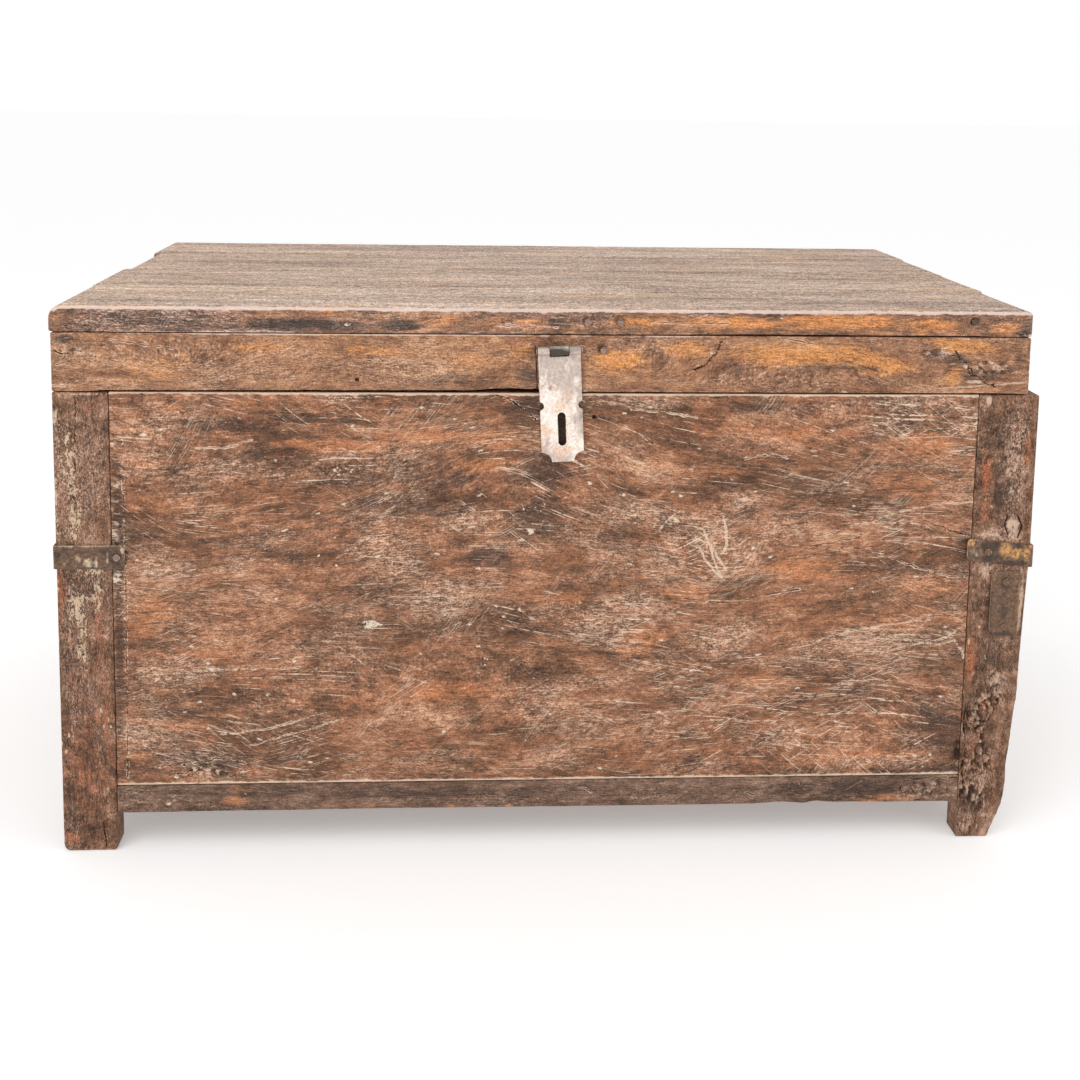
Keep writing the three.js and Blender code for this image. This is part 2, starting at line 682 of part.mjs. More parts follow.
const windowHalf = haspMiddleKnuckle / 2 + fitGap;
const haspBack = leafFront - haspLeafGap;
let haspStrap = toSolid(standFacingFront(sheet(haspOutline(), haspThickness), haspBack));
haspStrap = haspStrap.subtract(
  block([-windowHalf, windowHalf], [haspBack - haspThickness - cutOverrun, haspBack + cutOverrun],
    [-haspWindowDrop, cutOverrun]));
haspStrap = joinRods(haspStrap, haspKnuckles.outer, haspKnuckleRadius, 0, 0);
haspStrap = boreRod(haspStrap, 0, haspWidth, haspPinRadius, 0, 0);
piece('hasp_strap', haspStrap, haspSteel, haspHolder);

// Countersunk nails of the fixed leaf, flush with its face
function flushNailProfile(grow, over) {
  const shank = nailShankRadius + grow;
  return new THREE.LatheGeometry([
    new THREE.Vector2(0, -nailShankLength - grow),
    new THREE.Vector2(shank, -nailShankLength - grow),
    new THREE.Vector2(shank, -flushHeadHeight),
    new THREE.Vector2(flushHeadRadius + grow, 0),
    new THREE.Vector2(flushHeadRadius + grow, over),
    new THREE.Vector2(0, over),
  ], nailSides);
}

for (const [side, x] of [['left', -haspLeafNailSpan / 2], ['right', haspLeafNailSpan / 2]]) {
  const place = new THREE.Vector3(x, leafFront, -haspLeafNailDrop);
  const name = `hasp_${side}_nail`;
  piece(name, toSolid(turnTo(flushNailProfile(0, 0), outOfFront, place)), nailIron, haspHolder);
  const hole = turnTo(flushNailProfile(fitGap, cutOverrun), outOfFront, place);
  cutPiece('hasp_leaf', toSolid(hole));
  cutPiece('lid_front_apron', toSolid(hole.clone().applyMatrix4(haspHolder.matrix)));
}

// The scene graph, shifted so that the origin lies under the middle of the whole
for (const [name, { solid, finish, holder }] of pieces) {
  const mesh = new THREE.Mesh(toGeometry(solid), new THREE.MeshStandardMaterial(finish));
  mesh.name = name;
  holder.add(mesh);
}
chest.add(haspHolder);
chest.position.y = haspKnuckleRadius - hingeBarrelRadius;

export default chest;
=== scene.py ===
"""Looks of a storage chest of hand-sawn hardwood, with iron corner straps, a hanging hasp and rear hinges.

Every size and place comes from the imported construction. Each board is modelled anew as a worn board in the
space of the one it stands for, and each iron piece as a forged one. Lengths in the tables are millimetres,
and everything is built in metres. X runs right along the front, Y to the back, Z up.
"""
import logging
import math
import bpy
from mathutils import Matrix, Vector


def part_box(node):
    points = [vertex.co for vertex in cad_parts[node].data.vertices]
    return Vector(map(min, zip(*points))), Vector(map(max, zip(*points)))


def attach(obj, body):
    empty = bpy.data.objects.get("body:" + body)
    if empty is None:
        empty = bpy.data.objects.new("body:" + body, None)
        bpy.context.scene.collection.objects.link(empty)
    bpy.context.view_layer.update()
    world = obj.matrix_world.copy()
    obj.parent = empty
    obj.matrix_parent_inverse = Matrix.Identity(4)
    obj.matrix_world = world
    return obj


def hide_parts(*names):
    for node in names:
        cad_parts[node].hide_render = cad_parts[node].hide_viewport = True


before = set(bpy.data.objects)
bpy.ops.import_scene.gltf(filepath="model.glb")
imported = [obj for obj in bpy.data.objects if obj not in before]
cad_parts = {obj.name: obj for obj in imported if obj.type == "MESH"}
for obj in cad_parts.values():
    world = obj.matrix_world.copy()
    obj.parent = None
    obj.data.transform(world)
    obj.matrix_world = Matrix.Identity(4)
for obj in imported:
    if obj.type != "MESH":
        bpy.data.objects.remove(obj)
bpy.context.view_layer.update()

import zlib
from dataclasses import dataclass
from enum import Enum
from typing import Any, Callable

import bpy
import numpy as np
from mathutils import Matrix, Vector

MM = 0.001
SAME = 1e-5     # metres: closer than this is the same place
SHORT = 1e-4    # metres: an edge that runs less than this along an axis doesn't lie along it
FACING = 0.9    # the part of a normal along an axis above which its face looks that way
QUICK_CELL_FACTOR = 1.0
log = logging.getLogger("chest")

Colour = tuple[float, float, float]
Point = tuple[float, float]
Cell = tuple[float, float, float]
Place = Vector | tuple[float, float, float]
Piece = bpy.types.Object
Array = np.ndarray
Socket = bpy.types.NodeSocket
FINISHES: dict[str, bpy.types.Material] = {}


class Side(Enum):
    """The six sides of a board, each as the axis it faces along and which way it faces."""

    LEFT = (0, -1)
    RIGHT = (0, 1)
    FRONT = (1, -1)
    BACK = (1, 1)
    UNDER = (2, -1)
    TOP = (2, 1)

    @property
    def axis(self) -> int:
        """The axis that the side faces along."""
        return self.value[0]

    @property
    def way(self) -> int:
        """1 where the side faces up its axis, -1 where it faces down it."""
        return self.value[1]

    @property
    def outward(self) -> Vector:
        """The unit vector out of the side."""
        return Vector([self.way if axis == self.axis else 0 for axis in range(3)])

    @property
    def word(self) -> str:
        """The side's word in the names of pieces."""
        return self.name.lower()


LEFT, RIGHT, FRONT, BACK, UNDER, TOP = Side


class Axis(Enum):
    """The way that the grain of a board runs."""

    X = 0
    Y = 1
    Z = 2


class Element(Enum):
    """What a selection in edit mode is made of."""

    VERTEX = "vertices"
    EDGE = "edges"
    FACE = "polygons"


class Tone(Enum):
    """A kind of local colour on old wood, named as its vertex attribute. Some grime, dust and worn marks in
    the tables also carry painted shade and painted highlights.
    """

    RUBBED = "rubbed"
    GRIME = "grime"
    DUST = "dust"
    FLECK = "fleck"
    WORN = "worn"
    SCUFF = "scuff"


# Modelling


class Noise:
    """Smooth repeatable noise in space, between 0 and 1."""

    def __init__(self, name: str) -> None:
        """Takes its seed from a name, so that each board has its own."""
        self.seed = zlib.crc32(name.encode()) % 9973

    def _corner(self, cell: Array) -> Array:
        """Gives each cell corner a fixed random number.

        Args:
            cell: the corners as whole numbers, one row each.

        Returns:
            A number between 0 and 1 for each.
        """
        mixed = (cell[:, 0] * 73856093) ^ (cell[:, 1] * 19349663) ^ (cell[:, 2] * 83492791)
        mixed = (mixed ^ (self.seed * 2654435761)) & 0xFFFFFFFF
        for _ in range(2):
            mixed = ((mixed ^ (mixed >> 16)) * 0x45D9F3B) & 0xFFFFFFFF
        return (mixed & 0xFFFF) / 65535.0

    def _smooth(self, points: Array) -> Array:
        """Works out one layer of noise with cells of unit size.

        Args:
            points: places, one row each.

        Returns:
            A number between 0 and 1 for each.
        """
        low = np.floor(points).astype(np.int64)
        share = points - low
        share = share * share * (3 - 2 * share)
        total = np.zeros(len(points))
        for dx in (0, 1):
            for dy in (0, 1):
                for dz in (0, 1):
                    step = np.array([dx, dy, dz])
                    weight = np.prod(np.where(step, share, 1 - share), axis=1)
                    total += weight * self._corner(low + step)
        return total

    def at(self, points: Array, size: Any, layers: int = 1) -> Array:
        """Noise at points.

        Args:
            points: places, one row each.
            size: the size of the largest blotches, one number or one for each axis, in the points' unit.
            layers: how many finer layers are added, each half as large and half as strong.

        Returns:
            A number between 0 and 1 for each point.
        """
        scaled = points / np.asarray(size, float)
        total, weight, strength = np.zeros(len(points)), 0.0, 1.0
        for layer in range(layers):
            total += strength * self._smooth(scaled * 2**layer + 17.3 * layer)
            weight += strength
            strength *= 0.5
        return total / weight


def fade(value: Array, low: float, high: float) -> Array:
    """A smooth step from 0 at low to 1 at high; low may be the larger of the two."""
    share = np.clip((value - low) / (high - low), 0, 1)
    return share * share * (3 - 2 * share)


class Bench:
    """Modelling moves on one mesh at a time, made with Blender's own operators."""

    WEIGHT_STEPS = 200

    @staticmethod
    def activate(piece: Piece) -> None:
        """Makes the piece the only selected object.

        Args:
            piece: the piece.
        """
        bpy.ops.object.select_all(action="DESELECT")
        piece.select_set(True)
        bpy.context.view_layer.objects.active = piece

    @staticmethod
    def named(name: str) -> Piece:
        """Names the object that was just added, and puts its place and turn into its mesh.

        Args:
            name: its name.

        Returns:
            The piece.
        """
        piece = bpy.context.object
        piece.name = piece.data.name = name
        bpy.ops.object.transform_apply(location=True, rotation=True, scale=True)
        return piece

    @staticmethod
    def box(name: str, low: Place, high: Place) -> Piece:
        """Adds a cube primitive at its size and place.

        Args:
            name: the piece's name.
            low: its lowest corner.
            high: its highest corner.

        Returns:
            The piece.
        """
        bpy.ops.object.select_all(action="DESELECT")
        low, high = Vector(low), Vector(high)
        bpy.ops.mesh.primitive_cube_add(size=1.0, location=(low + high) / 2, scale=high - low)
        return Bench.named(name)

    @staticmethod
    def rod(name: str, radius: float, start: Place, end: Place, sides: int = 32) -> Piece:
        """Adds a cylinder primitive between two points.

        Args:
            name: the piece's name.
            radius: its radius in metres.
            start: the middle of one end.
            end: the middle of the other.
            sides: how many sides it has.

        Returns:
            The piece.
        """
        bpy.ops.object.select_all(action="DESELECT")
        start, end = Vector(start), Vector(end)
        turn = (end - start).to_track_quat("Z", "Y").to_euler()
        bpy.ops.mesh.primitive_cylinder_add(
            vertices=sides, radius=radius, depth=(end - start).length,
            location=(start + end) / 2, rotation=turn)
        return Bench.named(name)

    @staticmethod
    def points(piece: Piece) -> Array:
        """Reads the mesh's points.

        Args:
            piece: the mesh.

        Returns:
            The points, one row each.
        """
        found = np.empty(len(piece.data.vertices) * 3, np.float32)
        piece.data.vertices.foreach_get("co", found)
        return found.reshape(-1, 3).astype(float)

    @staticmethod
    def edge_ends(piece: Piece) -> tuple[Array, Array]:
        """Reads where each edge starts and ends.

        Args:
            piece: the mesh.

        Returns:
            The starts and the ends, one row each.
        """
        pairs = np.empty(len(piece.data.edges) * 2, np.int32)
        piece.data.edges.foreach_get("vertices", pairs)
        points = Bench.points(piece)
        pairs = pairs.reshape(-1, 2)
        return points[pairs[:, 0]], points[pairs[:, 1]]

    @staticmethod
    def edges_at(piece: Piece, axis: Axis, where: float) -> Array:
        """Marks the edges with both ends at one place along an axis."""
        ends = Bench.edge_ends(piece)
        return np.all([np.abs(end[:, axis.value] - where) < SAME for end in ends], axis=0)

    @staticmethod
    def faces(piece: Piece) -> tuple[Array, Array]:
        """Reads how the faces lie.

        Args:
            piece: the mesh.

        Returns:
            The middle and the normal of each face, one row each.
        """
        middles = np.empty(len(piece.data.polygons) * 3, np.float32)
        normals = middles.copy()
        piece.data.polygons.foreach_get("center", middles)
        piece.data.polygons.foreach_get("normal", normals)
        return middles.reshape(-1, 3).astype(float), normals.reshape(-1, 3).astype(float)

    @staticmethod
    def edit(piece: Piece, kind: Element, chosen: Array, move: Callable, **settings: Any) -> None:
        """Selects elements by a mask and works one edit mode operator on them.

        Args:
            piece: the mesh.
            kind: what the mask is of.
            chosen: the mask; nothing is done where it is empty.
            move: the operator.
            settings: the operator's settings.
        """
        if not chosen.any():
            return
        Bench.activate(piece)
        for element in Element:
            items = getattr(piece.data, element.value)
            flags = chosen if element is kind else np.zeros(len(items), bool)
            items.foreach_set("select", flags)
        bpy.context.tool_settings.mesh_select_mode = [element is kind for element in Element]
        bpy.ops.object.mode_set(mode="EDIT")
        move(**settings)
        bpy.ops.object.mode_set(mode="OBJECT")

    @staticmethod
    def bevel(piece: Piece, chosen: Array, radius: float, segments: int) -> None:
        """Rounds chosen edges."""
        Bench.edit(piece, Element.EDGE, chosen, bpy.ops.mesh.bevel, offset=radius, segments=segments,
                   affect="EDGES")

    @staticmethod
    def split_along(piece: Piece, axis: int, cell: float) -> None:
        """Cuts rings across every edge that lies along an axis.

        Args:
            piece: the mesh.
            axis: the axis's number.
            cell: how far apart the rings are, in metres.
        """
        start, end = Bench.edge_ends(piece)
        longest = np.abs(end - start)[:, axis].max()
        segments = max(1, round(longest / (cell * QUICK_CELL_FACTOR)))
        first = max(1, round(math.sqrt(segments)))
        for parts in (first, math.ceil(segments / first)):
            start, end = Bench.edge_ends(piece)
            run = np.abs(end - start)
            straight = run[:, axis] > 0.999 * np.linalg.norm(run, axis=1)
            if parts > 1:
                Bench.edit(piece, Element.EDGE, straight & (run[:, axis] > cell), bpy.ops.mesh.subdivide,
                           number_cuts=parts - 1)

    @staticmethod
    def apply(piece: Piece, kind: str, **settings: Any) -> None:
        """Adds one modifier and applies it.

        Args:
            piece: the mesh.
            kind: the modifier's type.
            settings: its settings.
        """
        Bench.activate(piece)
        modifier = piece.modifiers.new(kind.title(), kind)
        for name, value in settings.items():
            setattr(modifier, name, value)
        bpy.ops.object.modifier_apply(modifier=modifier.name)

    @staticmethod
    def press(piece: Piece, amount: Array, direction: str = "NORMAL", sign: float = -1.0) -> None:
        """Moves each point by its own amount, through the weights of an applied Displace modifier.

        Args:
            piece: the mesh.
            amount: how far each point moves, in metres, never negative.
            direction: NORMAL, or an axis X, Y or Z.
            sign: -1 moves in, against the direction, and 1 moves along it.
        """
        reach = float(amount.max())
        if reach <= 0:
            return
        group = piece.vertex_groups.new(name="press")
        steps = np.rint(amount / reach * Bench.WEIGHT_STEPS).astype(int)
        order = np.argsort(steps, kind="stable")
        values, starts = np.unique(steps[order], return_index=True)
        for value, indices in zip(values, np.split(order, starts[1:])):
            if value > 0:
                group.add(indices.tolist(), value / Bench.WEIGHT_STEPS, "REPLACE")
        Bench.apply(piece, "DISPLACE", direction=direction, mid_level=0.0, strength=sign * reach,
                    vertex_group="press")
        piece.vertex_groups.clear()

    @staticmethod
    def cut(piece: Piece, cutter: Piece, operation: str = "DIFFERENCE") -> None:
        """Cuts or joins another piece, which is then gone."""
        Bench.apply(piece, "BOOLEAN", operation=operation, solver="EXACT", object=cutter)
        bpy.data.objects.remove(cutter)

    @staticmethod
    def ease(piece: Piece, radius: float, segments: int = 2, angle: float = 40.0) -> None:
        """Rounds every edge that is sharper than an angle in degrees."""
        Bench.apply(piece, "BEVEL", width=radius, segments=segments, limit_method="ANGLE",
                    angle_limit=math.radians(angle), use_clamp_overlap=True)

    @staticmethod
    def smooth(piece: Piece, angle: float = 38.0) -> None:
        """Shades smooth, except over edges sharper than an angle in degrees."""
        Bench.activate(piece)
        bpy.ops.object.shade_smooth_by_angle(angle=math.radians(angle))

    @staticmethod
    def attribute(piece: Piece, name: str, values: Array) -> None:
        """Keeps a number or a vector at each point, for the finish to read.

        Args:
            piece: the mesh.
            name: what the finish knows it by.
            values: the numbers, or the vectors, one row each.
        """
        vector = values.ndim == 2
        kind = "FLOAT_VECTOR" if vector else "FLOAT"
        made = piece.data.attributes.new(name, kind, "POINT")
        made.data.foreach_set("vector" if vector else "value", values.astype(np.float32).ravel())

    @staticmethod
    def copy(piece: Piece, name: str) -> Piece:
        """Copies a piece together with its mesh.

        Args:
            piece: the model.
            name: the copy's name.

        Returns:
            The copy.
        """
        twin = piece.copy()
        twin.data = piece.data.copy()
        twin.name = twin.data.name = name
        bpy.context.scene.collection.objects.link(twin)
        return twin


def place(piece: Piece, body: str, slot: str, *nodes: str) -> None:
    """Lets a piece ride on a body and stand for CAD nodes, and reports it.

    Args:
        piece: the piece.
        body: the body that it rides on.
        slot: not used.
        nodes: the CAD nodes that it replaces.
    """
    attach(piece, body)
    if nodes:
        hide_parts(*nodes)
    log.info("%s rides on %s, %d faces", piece.name, body, len(piece.data.polygons))


def coat(piece: Piece, finish: str) -> None:
    """Gives a piece one finish, by the finish's name."""
    piece.data.materials.clear()
    piece.data.materials.append(FINISHES[finish])


# Finishes


def tint(red: float, green: float, blue: float) -> tuple[float, float, float, float]:
    """Turns a colour as the eye counts it into the linear one that a shader takes.

    Args:
        red: the red part, 0 to 255.
        green: the green part.
        blue: the blue part.

    Returns:
        The linear colour, with full cover.
    """
    def linear(value: float) -> float:
        """One channel."""
        share = value / 255
        return share / 12.92 if share <= 0.04045 else ((share + 0.055) / 1.055) ** 2.4
    return linear(red), linear(green), linear(blue), 1.0


class Value:
    """A number that varies over a surface. Sums on it add Math nodes."""

    def __init__(self, paint: "Paint", socket: Socket) -> None:
        """Wraps one output socket."""
        self.paint = paint
        self.socket = socket

    def __add__(self, other: "Value | float") -> "Value":
        """Self plus other."""
        return self.paint.math("ADD", self, other)

    def __sub__(self, other: "Value | float") -> "Value":
        """Self less other."""
        return self.paint.math("SUBTRACT", self, other)

    def __rsub__(self, other: float) -> "Value":
        """Other less self."""
        return self.paint.math("SUBTRACT", other, self)

    def __mul__(self, other: "Value | float") -> "Value":
        """Self times other."""
        return self.paint.math("MULTIPLY", self, other)

    __radd__ = __add__
    __rmul__ = __mul__

    @property
    def swing(self) -> "Value":
        """How far noise is from its middle, -0.5 to 0.5."""
        return self - 0.5

    def over(self, other: "Value | float") -> "Value":
        """The larger of the two at each place."""
        return self.paint.math("MAXIMUM", self, other)

    def held(self) -> "Value":
        """Kept between 0 and 1."""
        return Value(self.paint, self.paint.node("ShaderNodeClamp", {}, {0: self}).outputs[0])

    def fade(self, low: float, high: float) -> "Value":
        """Makes a smooth step.

        Args:
            low: where it is 0.
            high: where it is 1.

        Returns:
            A number between 0 and 1.
        """
        made = self.paint.node("ShaderNodeMapRange", {"interpolation_type": "SMOOTHSTEP"},
                               {"Value": self, "From Min": low, "From Max": high})
        return Value(self.paint, made.outputs[0])


class Cloud(Enum):
    """Kinds of noise: blotches to the metre along, across and through the grain, detail and roughness."""

    BROAD = (7.0, 18.0, 18.0, 4.0, 0.58)
    MOTTLE = (46.0, 90.0, 90.0, 5.0, 0.66)
    STREAK = (42.0, 300.0, 300.0, 3.0, 0.62)
    HAIR = (150.0, 900.0, 900.0, 2.0, 0.6)
    BLOT = (150.0, 260.0, 260.0, 4.0, 0.65)
    GRIT = (520.0, 700.0, 700.0, 2.0, 0.6)
    FLUSH = (6.0, 13.0, 13.0, 4.0, 0.6)
    MURK = (9.0, 30.0, 60.0, 5.0, 0.62)
    COVER = (13.0, 34.0, 34.0, 5.0, 0.62)
    BAND = (3.5, 26.0, 26.0, 6.0, 0.66)
    SPECKLE = (420.0, 150.0, 150.0, 3.0, 0.65)
    OCHRE = (5.0, 70.0, 70.0, 4.0, 0.6)
    LASTING = (4.0, 210.0, 210.0, 4.0, 0.62)
    CLUSTER = (16.0, 30.0, 30.0, 4.0, 0.55)
    IRON_BROAD = (55.0, 55.0, 55.0, 5.0, 0.6)
    IRON_BLOTCH = (130.0, 130.0, 130.0, 6.0, 0.65)
    IRON_UPRIGHT = (220.0, 220.0, 40.0, 4.0, 0.6)
    IRON_GRIT = (900.0, 900.0, 900.0, 4.0, 0.7)
    IRON_SPECK = (380.0, 380.0, 380.0, 3.0, 0.65)


class Paint:
    """The node tree of one material, and the colour that its layers have made so far."""

    def __init__(self, name: str) -> None:
        """Starts an empty material.

        Args:
            name: the material's name.
        """
        self.colour: Any = None
        self.material = bpy.data.materials.new(name)
        self.material.use_nodes = True
        self.tree = self.material.node_tree
        self.tree.nodes.clear()

    def node(self, kind: str, settings: dict[str, Any], inputs: dict[Any, Any]) -> bpy.types.Node:
        """Adds a node.

        Args:
            kind: the node's type.
            settings: its own settings, and stops for a colour ramp's places and colours.
            inputs: values or links for its sockets, by name or by number.

        Returns:
            The node.
        """
        made = self.tree.nodes.new(kind)
        for name, value in settings.items():
            if name == "stops":
                ramp = made.color_ramp
                while len(ramp.elements) < len(value):
                    ramp.elements.new(0.5)
                for element, (position, colour) in zip(ramp.elements, value):
                    element.position, element.color = position, colour
            else:
                setattr(made, name, value)
        for name, value in inputs.items():
            socket = value.socket if isinstance(value, Value) else value
            if isinstance(socket, bpy.types.NodeSocket):
                self.tree.links.new(socket, made.inputs[name])
            else:
                made.inputs[name].default_value = socket
        return made

    def math(self, operation: str, first: Any, second: Any) -> Value:
        """One Math node."""
        made = self.node("ShaderNodeMath", {"operation": operation}, {0: first, 1: second})
        return Value(self, made.outputs[0])

    def attribute(self, name: str) -> Value:
        """A number kept at the piece's points."""
        return Value(self, self.node("ShaderNodeAttribute", {"attribute_name": name}, {}).outputs["Fac"])

    def scaled(self, vector: Any, x: float, y: float, z: float) -> Socket:
        """A vector with each part scaled."""
        made = self.node("ShaderNodeVectorMath", {"operation": "MULTIPLY"}, {0: vector, 1: (x, y, z)})
        return made.outputs[0]

    def moved(self, vector: Any, offset: Any) -> Socket:
        """A vector plus another."""
        return self.node("ShaderNodeVectorMath", {"operation": "ADD"}, {0: vector, 1: offset}).outputs[0]

    def turned(self, vector: Any, degrees: float) -> Socket:
        """Turns a vector in the plane of the face.

        Args:
            vector: the place.
            degrees: the angle.

        Returns:
            The vector.
        """
        made = self.node("ShaderNodeVectorRotate", {"rotation_type": "Z_AXIS"},
                         {"Vector": vector, "Angle": math.radians(degrees)})
        return made.outputs[0]

    def noise(self, vector: Any, x: float, y: float, z: float, detail: float,
              rough: float = 0.55) -> Value:
        """Noise with so many blotches to the metre along each axis.

        Args:
            vector: the place.
            x: blotches to the metre along X, and y and z along the other two.
            detail: the node's detail.
            rough: how strong the finer layers are.

        Returns:
            A number between 0 and 1.
        """
        made = self.node("ShaderNodeTexNoise", {},
                         {"Vector": self.scaled(vector, x, y, z), "Scale": 1.0, "Detail": detail,
                          "Roughness": rough})
        return Value(self, made.outputs["Fac"])

    def cloud(self, vector: Any, kind: Cloud, stretch: float = 1.0) -> Value:
        """Noise of one kind, with so many times as many blotches along the grain."""
        along, *rest = kind.value
        return self.noise(vector, along * stretch, *rest)

    def wander(self, vector: Any, per_metre: Colour, reach: Colour) -> Socket:
        """Pushes a vector about by slow noise, so that lines drawn with it wave.

        Args:
            vector: the place.
            per_metre: waves to the metre along each axis.
            reach: how far it is pushed along each, in metres.

        Returns:
            The vector.
        """
        noise = self.node("ShaderNodeTexNoise", {},
                          {"Vector": self.scaled(vector, *per_metre), "Scale": 1.0, "Detail": 2.0})
        centred = self.moved(noise.outputs["Color"], (-0.5, -0.5, -0.5))
        return self.moved(vector, self.scaled(centred, *reach))

    def cells(self, vector: Any, x: float, y: float, z: float) -> tuple[Value, Value]:
        """Scatters points over the surface.

        Args:
            vector: the place.
            x: points to the metre along X, and y and z along the other two.

        Returns:
            The distance from the nearest point, and that point's random number.
        """
        made = self.node("ShaderNodeTexVoronoi", {"feature": "F1"},
                         {"Vector": self.scaled(vector, x, y, z), "Scale": 1.0})
        chance = self.node("ShaderNodeSeparateColor", {}, {0: made.outputs["Color"]})
        return Value(self, made.outputs["Distance"]), Value(self, chance.outputs[0])

    def ramp(self, value: Value, *stops: tuple[float, tuple]) -> Socket:
        """A colour for each number."""
        return self.node("ShaderNodeValToRGB", {"stops": stops}, {0: value}).outputs[0]

    def mix(self, share: Any, first: Any, second: Any) -> Socket:
        """A colour between two."""
        made = self.node("ShaderNodeMix", {"data_type": "RGBA"}, {0: share, 6: first, 7: second})
        return made.outputs[2]

    def lay(self, share: Any, colour: Colour) -> None:
        """Lays a colour over the one so far."""
        self.colour = self.mix(share, self.colour, tint(*colour))

    def lit(self, colour: Any, gain: Value) -> Socket:
        """A colour made lighter or darker by a factor."""
        made = self.node("ShaderNodeVectorMath", {"operation": "SCALE"}, {0: colour, "Scale": gain})
        return made.outputs[0]

    def finish(self, roughness: Any, height: Value, bump: float, depth: float, metallic: Any = 0.0,
               gloss: float = 0.5) -> bpy.types.Material:
        """Joins the colour and the rest in a shader.

        Args:
            roughness: a value or a number.
            height: the fine relief, 0 to 1.
            bump: how strongly the relief shows.
            depth: the relief's depth in metres.
            metallic: a value or a number.
            gloss: the shader's specular level.

        Returns:
            The material.
        """
        relief = self.node("ShaderNodeBump", {}, {"Strength": bump, "Distance": depth, "Height": height})
        shader = self.node("ShaderNodeBsdfPrincipled", {}, {
            "Base Color": self.colour, "Roughness": roughness, "Metallic": metallic,
            "Specular IOR Level": gloss, "Normal": relief.outputs[0]})
        self.node("ShaderNodeOutputMaterial", {}, {"Surface": shader.outputs[0]})
        return self.material


@dataclass(frozen=True)
class Scratches:
    """A set of thin pale lines in patches, at one angle to the grain.

    The angle is in degrees, and the lines are counted to the metre. Dense is 0 for a few lines in a patch
    and 1 for a hatching, and spread is 0 for a few patches and 1 for many.
    """

    degrees: float
    fine: float
    dense: float
    spread: float

    def lines(self, paint: "WoodPaint", scuff: Value | float = 0.0) -> Value:
        """Draws the lines.

        Args:
            paint: the wood's tree.
            scuff: where there are more of them.

        Returns:
            1 on a line, 0 off it.
        """
        turned = paint.turned(paint.raw, self.degrees)
        lines = paint.noise(turned, 16.0, self.fine, self.fine, 1.0)
        groups = paint.noise(turned, 9.0, 15.0, 15.0, 3.0) + scuff * 0.16
        start = 0.66 - 0.12 * self.dense
        patches = groups.fade(0.62 - 0.14 * self.spread, 0.70 - 0.12 * self.spread)
        return lines.fade(start, start + 0.10) * patches


CROSS_SCRATCHES = Scratches(-54.0, 1000.0, 0.9, 0.35)
DRAG_SCRATCHES = (Scratches(2.0, 900.0, 0.3, 0.9), Scratches(34.0, 1200.0, 0.2, 0.6),
                  Scratches(-24.0, 1000.0, 0.4, 0.6), Scratches(12.0, 900.0, 0.3, 0.8))


class WoodPaint(Paint):
    """The node tree of a wood, with the places and the noises that its layers share."""

    def __init__(self, name: str, stretch: float, rings: float) -> None:
        """Reads the place along the grain and lays out the noises.

        Args:
            name: the material's name.
            stretch: how many times as many blotches lie along the grain.
            rings: lines of growth to the metre.
        """
        super().__init__(name)
        self.raw = self.node("ShaderNodeAttribute", {"attribute_name": "grain"}, {}).outputs["Vector"]
        self.grain = self.wander(self.raw, (7.0, 22.0, 22.0), (0.03, 0.012, 0.012))
        self.flow = self.wander(self.grain, (30.0, 60.0, 60.0), (0.006, 0.0028, 0.0028))
        self.broad = self.cloud(self.grain, Cloud.BROAD, stretch)
        self.mottle = self.cloud(self.flow, Cloud.MOTTLE, stretch)
        self.figure = self.noise(self.flow, 10.0 * stretch, rings, rings, 3.0, 0.6)
        self.streak = self.cloud(self.flow, Cloud.STREAK, stretch)
        self.hair = self.cloud(self.flow, Cloud.HAIR, stretch)
        self.blot = self.cloud(self.raw, Cloud.BLOT)
        self.grit = self.cloud(self.raw, Cloud.GRIT)
        self.lean = self.figure.swing * 0.6 + self.streak.swing * 0.5 + self.mottle.swing * 1.6


